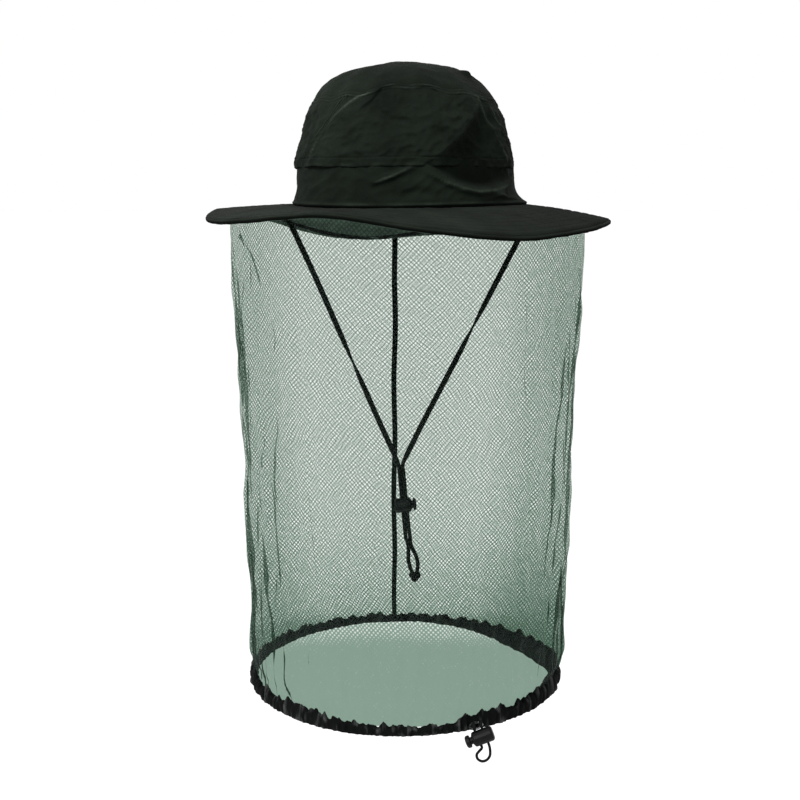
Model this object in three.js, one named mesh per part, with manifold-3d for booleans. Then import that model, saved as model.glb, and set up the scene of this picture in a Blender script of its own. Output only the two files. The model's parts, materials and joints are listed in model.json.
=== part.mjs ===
// A cloth sun hat with a hanging net: a veil that keeps bees and other insects off the face and neck.
// Millimetres, +Z up, the wearer looks along -Y. The origin is the centre of the head opening, in the
// plane where the crown meets the brim.
import * as THREE from 'three';
import { mergeVertices } from 'three/addons/utils/BufferGeometryUtils.js';
import Module from 'manifold-3d';

const wasm = await Module();
wasm.setup();

// ---- Driving dimensions -------------------------------------------------------------------------
const GAP = 0.35; // clearance between pieces that touch
const CLOTH = 1.1; // thickness of one sewn cloth layer
const STEPS = 36; // sides of every round ring

const HEAD_HALF_WIDTH = 88; // crown wall at the brim, half its left-right width
const HEAD_DEPTH_RATIO = 1.2; // a head is longer than it is wide
const HEAD_HALF_DEPTH = HEAD_HALF_WIDTH * HEAD_DEPTH_RATIO;

const CROWN_HEIGHT = 109;
const OVERHANG_HEIGHT = 31.5; // the upper crown's folded lower edge
const OVERHANG_HALF_WIDTH = 86;
const TOP_SEAM_HEIGHT = 78; // the seam round the top panel
const CROWN_TAPER = 0.25; // how much narrower the crown is at its top than at its overhang
const CROWN_ROUNDING = 6; // exponent of the dome: higher is squarer
const CROWN_TURN = 8; // degrees that the hat's seams are turned towards +X
const SEAM_HALF_ANGLE_TOP = 45; // side seams from the front line, at the top panel
const SEAM_HALF_ANGLE_LOW = 75; // and at the overhang

const BAND_TOP = 36; // the band is tucked up inside the overhang

const BRIM_WIDTH = 69;
const BRIM_MEAN_DROOP = 15.3; // how far the brim's edge hangs below the head opening
const BRIM_WAVES = [ // the edge rises and falls: waves round the brim, height, angle of the crest
  { count: 1, height: 7.9, crest: -120 },
  { count: 2, height: 7.8, crest: 8 },
  { count: 3, height: 4.0, crest: 68 },
  { count: 4, height: 2.7, crest: -90 },
];
const BRIM_DROOP_POWER = 1.5; // flat near the crown, steeper at the edge
const BINDING_FOLD = 7; // how far the edge binding laps over each side of the brim
const INTERLINING = 1.0;
const PLY_OFFSET = INTERLINING / 2 + GAP + CLOTH / 2; // a ply's middle from the brim's middle

const NET_TOP_INSET = 50; // the net's top seam, outwards from the head opening
const NET_WALL = 0.8;
const NET_BEND = 0.94; // below this share of its length the net draws in to the hem
const TAPE_HALF_WIDTH = 4; // the tape that holds the net's top edge under the brim
const TAPE_THICK = 1.0;
const NET_CASING = 0.98; // and from here it is inside the hem casing
const NET_LOW_RADIUS = 128.8; // just above the hem
const NET_LOW_HEIGHT = -358;

const HEM_RADIUS = 123.5;
const HEM_TOP = -372;
const HEM_BOTTOM = -381.5;
const HEM_CORD = 2.0; // diameter of the elastic drawcord
const HEM_CORD_HEIGHT = -377;

const CHIN_CORD = 2.6; // diameter of the round tube that the flat chin cord fits in

// ---- Helpers ------------------------------------------------------------------------------------
const veil = new THREE.Group();
const vec = (x, y, z) => new THREE.Vector3(x, y, z);
const radians = THREE.MathUtils.degToRad;

const finish = {
  crown: { color: 0x1f261f, roughness: 0.85 },
  brim: { color: 0x272e26, roughness: 0.85 },
  lining: { color: 0x30382f, roughness: 0.9 },
  net: { color: 0x86a696, roughness: 0.8 },
  black: { color: 0x161a17, roughness: 0.8 },
  plastic: { color: 0x131514, roughness: 0.4 },
  steel: { color: 0xb4b6b8, roughness: 0.35, metalness: 1 },
};

function add(name, geometry, look) {
  const mesh = new THREE.Mesh(geometry, new THREE.MeshStandardMaterial(look));
  mesh.name = name;
  veil.add(mesh);
  return mesh;
}

// Gives an indexed geometry from points and triangles, with its faces turned outwards.
function closedSolid(points, triangles) {
  const geometry = new THREE.BufferGeometry().setFromPoints(points);
  let volume = 0;
  for (const [a, b, c] of triangles) {
    volume += points[a].dot(vec(0, 0, 0).crossVectors(points[b], points[c]));
  }
  const outward = volume > 0 ? triangles : triangles.map(([a, b, c]) => [a, c, b]);
  geometry.setIndex(outward.flat());
  geometry.computeVertexNormals();
  return geometry;
}

// Two triangles for a quad with corners a, b on one section and c, d on the next. The second half of
// a section is its other face in reverse, so its diagonals are swapped to lie under the first half's.
function quad([a, b, c, d], swapped) {
  return swapped ? [[a, c, d], [a, d, b]] : [[a, c, b], [b, c, d]];
}

// A closed ring: section(angle) gives the same number of points, in order, at every angle.
function ringSolid(section, steps = STEPS) {
  const points = [];
  const triangles = [];
  for (let i = 0; i < steps; i++) points.push(...section((2 * Math.PI * i) / steps));
  const around = points.length / steps;
  for (let i = 0; i < steps; i++) {
    for (let j = 0; j < around; j++) {
      const a = i * around + j;
      const b = i * around + ((j + 1) % around);
      const c = ((i + 1) % steps) * around + j;
      const d = ((i + 1) % steps) * around + ((j + 1) % around);
      triangles.push(...quad([a, b, c, d], j >= around / 2));
    }
  }
  return closedSolid(points, triangles);
}

// A patch with four edges and a thickness: front(u, v) and back(u, v) give its two faces, u and v 0 to 1.
function patchSolid(front, back, across, along) {
  const points = [];
  const triangles = [];
  const sections = [];
  for (let i = 0; i <= along; i++) {
    const section = [];
    for (let j = 0; j <= across; j++) section.push(front(j / across, i / along));
    for (let j = across; j >= 0; j--) section.push(back(j / across, i / along));
    sections.push(section);
    points.push(...section);
  }
  const around = 2 * (across + 1);
  for (let i = 0; i < along; i++) {
    for (let j = 0; j < around; j++) {
      const a = i * around + j;
      const b = i * around + ((j + 1) % around);
      triangles.push(...quad([a, b, a + around, b + around], j >= around / 2));
    }
  }
  for (let j = 0; j < across; j++) {
    const low = [j, j + 1, around - 1 - j, around - 2 - j];
    const high = low.map((k) => k + along * around);
    triangles.push([low[0], low[1], low[2]], [low[1], low[3], low[2]]);
    triangles.push([high[0], high[2], high[1]], [high[1], high[2], high[3]]);
  }
  return closedSolid(points, triangles);
}

// A lathed ring or cap with the head's oval plan; the profile is [half width, height] pairs.
function ovalLathe(profile, steps = STEPS) {
  const geometry = new THREE.LatheGeometry(profile.map(([r, z]) => new THREE.Vector2(r, z)), steps);
  geometry.rotateX(Math.PI / 2);
  geometry.scale(1, HEAD_DEPTH_RATIO, 1);
  return geometry;
}

// A round tube along a smooth curve through the points.
function cordSolid(points, diameter, steps, sides = 8) {
  const section = new THREE.Shape();
  for (let i = 0; i < sides; i++) {
    const angle = (2 * Math.PI * i) / sides;
    const [x, y] = [(diameter / 2) * Math.cos(angle), (diameter / 2) * Math.sin(angle)];
    if (i === 0) section.moveTo(x, y);
    else section.lineTo(x, y);
  }
  section.closePath();
  const path = new THREE.CatmullRomCurve3(points.map((p) => vec(...p)), false, 'centripetal');
  return new THREE.ExtrudeGeometry(section, { steps, extrudePath: path, curveSegments: 1 });
}

function toSolid(geometry) {
  const plain = geometry.clone();
  plain.deleteAttribute('normal');
  plain.deleteAttribute('uv');
  const merged = mergeVertices(plain, 1e-4);
  return new wasm.Manifold(new wasm.Mesh({
    numProp: 3,
    vertProperties: new Float32Array(merged.attributes.position.array),
    triVerts: new Uint32Array(merged.index.array),
  }));
}

function toGeometry(solid) {
  const mesh = solid.getMesh();
  const geometry = new THREE.BufferGeometry();
  geometry.setAttribute('position', new THREE.BufferAttribute(new Float32Array(mesh.vertProperties), 3));
  geometry.setIndex(new THREE.BufferAttribute(new Uint32Array(mesh.triVerts), 1));
  geometry.computeVertexNormals();
  return geometry;
}

const cut = (geometry, tool) => toGeometry(toSolid(geometry).subtract(toSolid(tool)));

// ---- Crown --------------------------------------------------------------------------------------
// Half width of the upper crown at a height: a gentle taper that rounds over into a flat top.
function crownHalfWidth(z) {
  const share = (z - OVERHANG_HEIGHT) / (CROWN_HEIGHT - OVERHANG_HEIGHT);
  return OVERHANG_HALF_WIDTH * (1 - CROWN_TAPER * share) * Math.sqrt(1 - share ** CROWN_ROUNDING);
}

function crownPoint(angle, z, inset) {
  const halfWidth = crownHalfWidth(z);
  const x = (halfWidth - inset) * Math.cos(angle);
  const y = (halfWidth * HEAD_DEPTH_RATIO - inset) * Math.sin(angle);
  return vec(x, y, z);
}

// Angle from the front (or back) line to the side seams at a height.
function seamHalfAngle(z) {
  const share = (z - OVERHANG_HEIGHT) / (TOP_SEAM_HEIGHT - OVERHANG_HEIGHT);
  return SEAM_HALF_ANGLE_LOW + (SEAM_HALF_ANGLE_TOP - SEAM_HALF_ANGLE_LOW) * share;
}

// A wall panel between two side seams; middle is the compass angle of its centre line in degrees.
function crownPanel(middle, halfAngle) {
  const low = OVERHANG_HEIGHT;
  const high = TOP_SEAM_HEIGHT - GAP / 2;
  const place = (u, v, inset) => {
    const z = low + (high - low) * v;
    const room = (GAP / 2 / crownHalfWidth(z)) * (180 / Math.PI);
    const reach = halfAngle(z) - room;
    return crownPoint(radians(middle + reach * (2 * u - 1)), z, inset);
  };
  return patchSolid((u, v) => place(u, v, 0), (u, v) => place(u, v, CLOTH), 12, 3);
}

function makeCrown() {
  const rims = [TOP_SEAM_HEIGHT + GAP / 2, 89, 98, 104.5, 108.2];
  const outer = rims.map((z) => [crownHalfWidth(z), z]);
  const inner = rims.map((z) => [crownHalfWidth(z) - CLOTH, z - CLOTH * (z > rims[0] ? 1 : 0)]);
  const top = [...outer, [0, CROWN_HEIGHT], [0, CROWN_HEIGHT - CLOTH], ...inner.reverse(), outer[0]];
  // The closed profile is turned to start and end on the axis.
  const turn = outer.length + 1;
  const profile = [...top.slice(turn, -1), ...top.slice(0, turn)];
  add('crown_top_panel', ovalLathe(profile), finish.crown);

  const wide = (z) => seamHalfAngle(z);
  const narrow = (z) => 90 - seamHalfAngle(z);
  add('crown_front_panel', crownPanel(-90 + CROWN_TURN, wide), finish.crown);
  add('crown_back_panel', crownPanel(90 + CROWN_TURN, wide), finish.crown);
  add('crown_left_panel', crownPanel(180 + CROWN_TURN, narrow), finish.crown);
  add('crown_right_panel', crownPanel(CROWN_TURN, narrow), finish.crown);
}

// The band is the lower crown wall, and the sweatband lies inside it.
function makeBands() {
  const seat = PLY_OFFSET + CLOTH / 2 + GAP;
  const outer = [[HEAD_HALF_WIDTH - 1.2, seat], [86, 7], [84.9, 14], [83.9, 24], [82.7, BAND_TOP]];
  const inner = outer.map(([r, z]) => [r - CLOTH, z]).reverse();
  add('hat_band', ovalLathe([...outer, ...inner, outer[0]]), finish.crown);

  const sweatOuter = 81;
  const sweatInner = sweatOuter - CLOTH;
  const sweat = [[sweatOuter, 0], [sweatOuter, 32], [sweatInner, 32], [sweatInner, 0], [sweatOuter, 0]];
  add('sweatband', ovalLathe(sweat), finish.lining);
}

// ---- Brim ---------------------------------------------------------------------------------------
function brimEdgeHeight(angle) {
  let z = -BRIM_MEAN_DROOP;
  for (const { count, height, crest } of BRIM_WAVES) z += height * Math.cos(count * angle - radians(crest));
  return z;
}

// A point of the brim's middle surface, out millimetres outwards from the head opening.
function brimPoint(angle, out, lift) {
  const share = Math.max(out, 0) / BRIM_WIDTH;
  const z = brimEdgeHeight(angle) * share ** BRIM_DROOP_POWER + lift;
  return vec((HEAD_HALF_WIDTH + out) * Math.cos(angle), (HEAD_HALF_DEPTH + out) * Math.sin(angle), z);
}

function brimLayer(inner, outer, lift, thickness) {
  const underTape = [NET_TOP_INSET - TAPE_HALF_WIDTH, NET_TOP_INSET + TAPE_HALF_WIDTH];
  const reach = [inner, 24, ...underTape, BRIM_WIDTH - BINDING_FOLD, outer];
  return ringSolid((angle) => [
    ...reach.map((out) => brimPoint(angle, out, lift + thickness / 2)),
    ...reach.slice().reverse().map((out) => brimPoint(angle, out, lift - thickness / 2)),
  ]);
}

function makeBrim() {
  const inner = -2;
  add('brim_upper_ply', brimLayer(inner, BRIM_WIDTH, PLY_OFFSET, CLOTH), finish.brim);
  add('brim_interlining', brimLayer(inner, BRIM_WIDTH, 0, INTERLINING), finish.lining);
  add('brim_lower_ply', brimLayer(inner, BRIM_WIDTH, -PLY_OFFSET, CLOTH), finish.brim);

  const half = PLY_OFFSET + CLOTH / 2 + 1.6 * GAP;
  const wall = 0.8;
  const [start, end] = [BRIM_WIDTH - BINDING_FOLD, BRIM_WIDTH + GAP];
  add('brim_edge_binding', ringSolid((angle) => [
    brimPoint(angle, start, half + wall),
    brimPoint(angle, end, half + wall),
    brimPoint(angle, end + wall, half / 2),
    brimPoint(angle, end + wall, -half / 2),
    brimPoint(angle, end, -half - wall),
    brimPoint(angle, start, -half - wall),
    brimPoint(angle, start, -half),
    brimPoint(angle, end, -half),
    brimPoint(angle, end, half),
    brimPoint(angle, start, half),
  ]), finish.brim);
}

// ---- Net ----------------------------------------------------------------------------------------
const UNDER_BRIM = PLY_OFFSET + CLOTH / 2 + GAP; // depth of the brim's lower face below its middle
const NET_EDGE_HEIGHT = HEM_TOP - 3; // the net's lower edge is held inside the hem casing

// A point on the net, v 0 at its top edge and 1 at its lower edge, inset inwards from its outer face.
function netPoint(angle, v, inset) {
  const top = brimPoint(angle, NET_TOP_INSET, -UNDER_BRIM - TAPE_THICK - GAP);
  const around = (radius, z) => vec(radius * Math.cos(angle), radius * Math.sin(angle), z);
  const stations = [
    [0, top],
    [NET_BEND, around(NET_LOW_RADIUS, NET_LOW_HEIGHT)],
    [NET_CASING, around(HEM_RADIUS + NET_WALL / 2, HEM_TOP + 1)],
    [1, around(HEM_RADIUS + NET_WALL / 2, NET_EDGE_HEIGHT)],
  ];
  const next = Math.max(1, stations.findIndex(([share]) => v <= share));
  const [[v0, upper], [v1, lower]] = [stations[next - 1], stations[next]];
  return upper.clone().lerp(lower, (v - v0) / (v1 - v0)).addScaledVector(around(-1, 0), inset);
}

function makeNet() {
  const rows = [0, 0.3, 0.62, NET_BEND, NET_CASING, 1];
  add('net', ringSolid((angle) => [
    ...rows.map((v) => netPoint(angle, v, 0)),
    ...rows.slice().reverse().map((v) => netPoint(angle, v, NET_WALL)),
  ]), finish.net);

  const [inner, outer] = [NET_TOP_INSET - TAPE_HALF_WIDTH, NET_TOP_INSET + TAPE_HALF_WIDTH];
  add('net_top_binding', ringSolid((angle) => [
    brimPoint(angle, inner, -UNDER_BRIM),
    brimPoint(angle, outer, -UNDER_BRIM),
    brimPoint(angle, outer, -UNDER_BRIM - TAPE_THICK),
    brimPoint(angle, inner, -UNDER_BRIM - TAPE_THICK),
  ]), finish.black);

  const seamAngle = radians(93.2);
  const halfWidth = radians(1.05);
  const rowsAbove = 9; // rows of the tape above the bend, and one more below it
  const bendAt = rowsAbove / (rowsAbove + 1);
  const start = 0.004; // just below the binding tape
  const down = (v) => (v > bendAt ? NET_BEND + 0.036 : start + (v / bendAt) * (NET_BEND - start));
  const tape = (inset) => (u, v) => netPoint(seamAngle + halfWidth * (2 * u - 1), down(v), inset);
  add('net_back_seam_tape', patchSolid(tape(-GAP - 0.8), tape(-GAP), 1, rowsAbove + 1), finish.black);
}

// ---- Hem ----------------------------------------------------------------------------------------
const EXIT_ANGLE = radians(-66); // where the drawcord leaves the casing, at the front right
const HEM_STRANDS = 5.6; // distance between the two strands of the drawcord at the exit

// A point beside the cord exit: along the hem, outwards from the middle of its casing, and height.
function atExit(along, out, z) {
  const outward = vec(Math.cos(EXIT_ANGLE), Math.sin(EXIT_ANGLE), 0);
  const tangent = vec(-Math.sin(EXIT_ANGLE), Math.cos(EXIT_ANGLE), 0);
  return outward.multiplyScalar(HEM_RADIUS + out).addScaledVector(tangent, along).setZ(z);
}

function ovalShape(halfWidth, halfHeight) {
  const shape = new THREE.Shape();
  shape.absellipse(0, 0, halfWidth, halfHeight, 0, 2 * Math.PI, false, 0);
  return shape;
}

function placeAtExit(geometry, out) {
  const outward = atExit(0, 1, 0).sub(atExit(0, 0, 0));
  const tangent = atExit(1, 0, 0).sub(atExit(0, 0, 0));
  const basis = new THREE.Matrix4().makeBasis(tangent, vec(0, 0, 1), outward);
  geometry.applyMatrix4(basis.setPosition(atExit(0, out, HEM_CORD_HEIGHT)));
  return geometry;
}

function makeHem() {
  const section = [ // half of the casing's cross-section from its middle line: [out, height]
    [1.7, HEM_TOP], [3.3, HEM_TOP - 3.5], [3.3, HEM_BOTTOM + 2], [1.8, HEM_BOTTOM],
    [-1.8, HEM_BOTTOM], [-3.3, HEM_BOTTOM + 2], [-3.3, HEM_TOP - 3.5], [-1.7, HEM_TOP],
    [-0.9, HEM_TOP], [-2.1, HEM_TOP - 3.8], [-2.1, HEM_BOTTOM + 1.3],
    [2.1, HEM_BOTTOM + 1.3], [2.1, HEM_TOP - 3.8], [0.9, HEM_TOP],
  ];
  const casing = ringSolid((angle) => section.map(([out, z]) => {
    const radius = HEM_RADIUS + out;
    return vec(radius * Math.cos(angle), radius * Math.sin(angle), z);
  }));
  const slotHalfWidth = HEM_STRANDS / 2 + HEM_CORD / 2 + 0.6;
  const slotHalfHeight = HEM_CORD / 2 + 0.8;
  const slot = ovalShape(slotHalfWidth, slotHalfHeight);
  const tool = new THREE.ExtrudeGeometry(slot, { depth: 4, bevelEnabled: false, curveSegments: 8 });
  add('hem_casing', cut(casing, placeAtExit(tool, 0.8)), finish.black);

  const rim = ovalShape(slotHalfWidth + 1.5, slotHalfHeight + 1.5);
  rim.holes.push(slot);
  const eyelet = new THREE.ExtrudeGeometry(rim, { depth: 0.9, bevelEnabled: false, curveSegments: 8 });
  add('hem_cord_eyelet', placeAtExit(eyelet, 3.3 + GAP), finish.steel);

  const clear = (HEM_STRANDS / 2 + HEM_CORD + GAP) / HEM_RADIUS;
  const arc = [];
  const stops = 36;
  for (let i = 0; i <= stops; i++) {
    const angle = EXIT_ANGLE + clear + ((2 * Math.PI - 2 * clear) * i) / stops;
    arc.push([HEM_RADIUS * Math.cos(angle), HEM_RADIUS * Math.sin(angle), HEM_CORD_HEIGHT]);
  }
  add('hem_drawcord', cordSolid(arc, HEM_CORD, 54), finish.black);
}

// ---- Cord locks ---------------------------------------------------------------------------------
// A spring cord lock along its own X axis, the plunger's button on the +X side. Two strands run
// through it along Z, side by side along X. The plunger slides towards -X against its spring.
function lockSizes({ strand, spacing, stroke, radius, button }) {
  const halfSlot = spacing / 2 + strand / 2 + GAP;
  const stemWall = 0.8;
  const springSolid = 1.3; // the spring's length when the plunger is pressed home
  const floor = 0.8;
  const springSeat = -(halfSlot + stemWall + stroke + springSolid);
  const mouth = halfSlot + stroke + 0.2;
  const buttonStart = mouth + 0.3 + stroke;
  return {
    halfSlot,
    slotDepth: strand / 2 + GAP,
    bore: radius - 1,
    stem: radius - 1 - GAP,
    stemStart: -(halfSlot + stemWall),
    springSeat,
    back: springSeat - floor,
    mouth,
    buttonStart,
    buttonEnd: buttonStart + button,
  };
}

const latheAlongX = (profile, sides = 16) => {
  const geometry = new THREE.LatheGeometry(profile.map(([x, r]) => new THREE.Vector2(r, x)), sides);
  return geometry.rotateZ(-Math.PI / 2);
};

function springSolid(from, to, radius, wire, turns) {
  const points = [];
  const stops = turns * 8;
  for (let i = 0; i <= stops; i++) {
    const angle = (2 * Math.PI * i) / 8;
    const x = from + wire / 2 + ((to - from - wire) * i) / stops;
    points.push([x, radius * Math.cos(angle), radius * Math.sin(angle)]);
  }
  return cordSolid(points, wire, stops, 5);
}

function makeLock(name, spec, centre, tilt) {
  const size = lockSizes(spec);
  const r = spec.radius;
  const place = (geometry) => geometry.rotateY(radians(tilt)).translate(...centre);
  const through = new THREE.BoxGeometry(2 * size.halfSlot, 2 * size.slotDepth, 4 * r);
  const barrel = latheAlongX([
    [size.back, 0], [size.back, r - 1.6], [size.back + 0.5, r - 0.5], [size.back + 1.6, r],
    [size.mouth - 1, r], [size.mouth, r - 0.5], [size.mouth, size.bore],
    [size.springSeat, size.bore], [size.springSeat, 0],
  ]);
  add(`${name}_barrel`, place(cut(barrel, through)), finish.plastic);

  const longSlot = new THREE.BoxGeometry(2 * size.halfSlot + spec.stroke, 2 * size.slotDepth, 4 * r);
  longSlot.translate(spec.stroke / 2, 0, 0);
  const neck = size.stem - 1.4;
  const plunger = latheAlongX([
    [size.stemStart, 0], [size.stemStart, size.stem], [size.mouth + 0.4, size.stem],
    [size.mouth + 0.9, neck], [size.buttonStart, neck], [size.buttonStart, r - 1.4],
    [size.buttonStart + 0.5, r - 0.9], [size.buttonEnd - 1.2, r - 0.9],
    [size.buttonEnd - 0.3, r - 1.8], [size.buttonEnd, r - 3], [size.buttonEnd, 0],
  ]);
  add(`${name}_plunger`, place(cut(plunger, longSlot)), finish.plastic);

  const coil = springSolid(size.springSeat + 0.15, size.stemStart - 0.15, size.bore - 1.4, 0.4, 3);
  add(`${name}_spring`, place(coil), finish.steel);
}

// ---- Chin cord ----------------------------------------------------------------------------------
const CHIN_SPACING = 3.2; // distance between the strands where they run side by side
const CHIN_LOCK = [-0.3, 0, -238.8];
const CHIN_LEAN = 5.4; // degrees that the paired strands lean, towards +X as they go down

// A point beside the paired strands: side is across them, rise is up along them from the lock.
function chinPoint(side, rise) {
  const lean = radians(CHIN_LEAN);
  return [
    CHIN_LOCK[0] + side * Math.cos(lean) - rise * Math.sin(lean),
    0,
    CHIN_LOCK[2] + side * Math.sin(lean) + rise * Math.cos(lean),
  ];
}

function makeChinCord() {
  const tab = (x, y) => new THREE.BoxGeometry(3, 9, 5.5).translate(x, y, -UNDER_BRIM - 3.4);
  add('chin_cord_tab_left', tab(-90.5, -8), finish.brim);
  add('chin_cord_tab_right', tab(93.5, 8), finish.brim);

  const half = CHIN_SPACING / 2;
  const paired = (sign) => [
    ...[33, 28, 20, 0, -20, -25].map((rise) => chinPoint(sign * half, rise)),
    chinPoint(sign * 1.7, -31), chinPoint(sign * 1.6, -35), chinPoint(sign * 3.4, -42),
    chinPoint(sign * 3.8, -47), chinPoint(sign * 2.7, -54), chinPoint(sign * 2.0, -58),
  ];
  const left = [
    [-90.5, -8, -9.1], [-89.9, -8, -11.5], [-88.2, -7.8, -15], [-72.6, -6.2, -49], [-54.5, -4.6, -91],
    [-37, -3, -132], [-21.5, -1.6, -168], [-10.4, -0.5, -193], ...paired(-1),
  ];
  const right = [
    [93.5, 8, -9.1], [92.9, 8, -11.5], [91.3, 7.8, -15], [73.5, 6.3, -51], [54, 4.6, -91],
    [34, 2.9, -132], [16, 1.4, -168], [4.2, 0.3, -192], ...paired(1),
  ];
  add('chin_cord_left', cordSolid(left, CHIN_CORD, 42), finish.black);
  add('chin_cord_right', cordSolid(right, CHIN_CORD, 42), finish.black);

  const [x, y, z] = chinPoint(0, -62.8);
  const knot = new THREE.SphereGeometry(4.5, 12, 8).scale(1, 0.9, 1).translate(x, y, z);
  add('chin_cord_end_knot', knot, finish.black);

  const spec = { strand: CHIN_CORD, spacing: CHIN_SPACING, stroke: 1.6, radius: 6, button: 2.6 };
  makeLock('chin_lock', spec, CHIN_LOCK, -CHIN_LEAN);
}

// ---- Free loop of the drawcord ------------------------------------------------------------------
const HEM_LOCK = [55.5, -126, -381.5];
const HEM_LOCK_TILT = 158; // its button points left and 22 degrees down

// A point beside the strands in the hem lock: side is towards the button, rise is up the strands.
function hemLockPoint(side, rise) {
  const turn = radians(HEM_LOCK_TILT);
  const [right, up] = [Math.cos(turn), Math.sin(turn)];
  return [HEM_LOCK[0] + side * right - rise * up, HEM_LOCK[1], HEM_LOCK[2] - side * up - rise * right];
}

function makeHemLoop() {
  const half = HEM_STRANDS / 2;
  const arch = (sign) => [ // from inside the casing, out of its eyelet and over towards the lock
    [-1, 0], [2, 0], [4.9, 0.1], [7.2, 1.8], [8.7, 4.4], [10.3, 6], [12, 6.2],
  ].map(([out, up]) => atExit(sign * half, out, HEM_CORD_HEIGHT + up).toArray());
  const straight = [8, 5, 0, -5, -8];
  const ring = [ // the loop below the lock: right of and above the lock's centre
    [-0.3, -11], [-0.9, -14.2], [0.9, -17.7], [4.1, -19.1], [7.5, -17.1], [8.8, -13.4], [7.8, -9.8],
  ].map(([right, up]) => [HEM_LOCK[0] + right, HEM_LOCK[1], HEM_LOCK[2] + up]);
  const route = [
    ...arch(-1), ...straight.map((rise) => hemLockPoint(half, rise)), ...ring,
    ...straight.map((rise) => hemLockPoint(-half, rise)).reverse(), ...arch(1).reverse(),
  ];
  add('hem_cord_loop', cordSolid(route, HEM_CORD, 40), finish.black);
  const spec = { strand: HEM_CORD, spacing: HEM_STRANDS, stroke: 2, radius: 5.5, button: 3.6 };
  makeLock('hem_lock', spec, HEM_LOCK, HEM_LOCK_TILT);
}

makeCrown();
makeBands();
makeBrim();
makeNet();
makeHem();
makeChinCord();
makeHemLoop();

export default veil;
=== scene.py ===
"""A beekeeping veil: a cloth sun hat whose brim carries a hanging net with a drawcord hem, and a chin
cord with a cord lock. Metres, in the CAD model's frame: +Z up, the wearer looks along -Y, and the
origin is the centre of the head opening."""
import json
import math

import bpy
import numpy as np
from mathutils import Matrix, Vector, noise


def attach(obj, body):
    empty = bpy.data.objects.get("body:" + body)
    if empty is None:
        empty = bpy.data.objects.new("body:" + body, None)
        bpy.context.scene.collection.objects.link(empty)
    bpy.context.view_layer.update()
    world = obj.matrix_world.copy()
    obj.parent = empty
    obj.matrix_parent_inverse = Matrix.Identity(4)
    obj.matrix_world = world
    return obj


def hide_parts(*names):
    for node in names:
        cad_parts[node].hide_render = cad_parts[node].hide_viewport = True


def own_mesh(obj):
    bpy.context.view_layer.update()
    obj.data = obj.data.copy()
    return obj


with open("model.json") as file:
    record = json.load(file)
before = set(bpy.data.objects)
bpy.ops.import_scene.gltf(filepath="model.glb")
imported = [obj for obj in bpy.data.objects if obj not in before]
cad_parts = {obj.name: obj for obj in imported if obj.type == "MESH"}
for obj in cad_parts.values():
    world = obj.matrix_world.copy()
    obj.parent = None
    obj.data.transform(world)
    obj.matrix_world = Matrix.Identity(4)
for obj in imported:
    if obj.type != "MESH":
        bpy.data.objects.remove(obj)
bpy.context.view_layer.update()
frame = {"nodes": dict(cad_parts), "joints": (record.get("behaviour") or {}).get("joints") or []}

TURN = 2 * math.pi
MM = 0.001  # the tables of creases and pleats are in millimetres, and everything else is in metres

# ---- Sizes, mostly the CAD model's -----------------------------------------------------------------
HEAD_HALF_WIDTH = 0.088
HEAD_DEPTH_RATIO = 1.2
HEAD_HALF_DEPTH = HEAD_HALF_WIDTH * HEAD_DEPTH_RATIO

CROWN_HEIGHT = 0.109
OVERHANG_HEIGHT = 0.0288  # a little lower than the CAD model's
OVERHANG_HALF_WIDTH = 0.086
TOP_SEAM_HEIGHT = 0.078
CROWN_TAPER = 0.25
CROWN_ROUNDING = 6
CROWN_TURN = 8.0
SEAM_HALF_ANGLE_TOP = 45.0
SEAM_HALF_ANGLE_LOW = 75.0

BRIM_WIDTH = 0.069
BRIM_MEAN_DROOP = 0.0153
BRIM_WAVES = [(1, 0.0076, -114), (2, 0.0078, 8), (3, 0.0040, 68), (4, 0.0027, -90)]
BRIM_DROOP_POWER = 1.5
BRIM_LIFTS = [  # degrees round, how far the rise spreads in radians, and the rise at the edge
    (-8, 0.45, -2.4), (27, 0.28, 3), (86, 0.34, 5.6), (-111, 0.31, 2.3),
]

NET_TOP_INSET = 0.050
NET_BEND = 0.94  # the share of the way down the net at which it turns in
NET_CASING = 0.98  # and at which it goes into the casing
NET_LOW_RADIUS = 0.1288
NET_LOW_HEIGHT = -0.358
NET_END_RADIUS = 0.1239
NET_CASING_HEIGHT = -0.371
NET_END_HEIGHT = -0.375
SEAM_TAPE_ANGLE = math.radians(93.2)
SEAM_TAPE_DRIFT = math.radians(1.0)  # the seam wanders round this far by the hem

HEM_RADIUS = 0.1235
HEM_BOTTOM = -0.3815

# ---- Camera ----------------------------------------------------------------------------------------
CAMERA_PLACE = (-0.004, -1.020, 0.011)
CAMERA_PITCH_DOWN = 9.125
CAMERA_LENS = 58.275


def make_camera():
    camera = bpy.data.objects.new("camera", bpy.data.cameras.new("camera"))
    bpy.context.scene.collection.objects.link(camera)
    camera.data.lens = CAMERA_LENS
    camera.data.sensor_width = 36.0
    camera.location = CAMERA_PLACE
    camera.rotation_euler = (math.radians(90 - CAMERA_PITCH_DOWN), 0, 0)
    bpy.context.scene.camera = camera


# ---- Mesh helpers ----------------------------------------------------------------------------------
def new_object(name, points, faces, uvs=None, marks=None):
    """A smooth-shaded mesh object. uvs is one (u, v) pair in metres for each corner of each face, and
    marks are named numbers, one for each point, that materials read."""
    mesh = bpy.data.meshes.new(name)
    mesh.from_pydata([tuple(p) for p in points], [], faces)
    if uvs is not None:
        layer = mesh.uv_layers.new(name="cloth")
        layer.data.foreach_set("uv", np.asarray(uvs, np.float32).ravel())
    for mark, values in (marks or {}).items():
        attribute = mesh.attributes.new(mark, "FLOAT", "POINT")
        attribute.data.foreach_set("value", np.asarray(values, np.float32))
    mesh.shade_smooth()
    piece = bpy.data.objects.new(name, mesh)
    bpy.context.scene.collection.objects.link(piece)
    return piece


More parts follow.
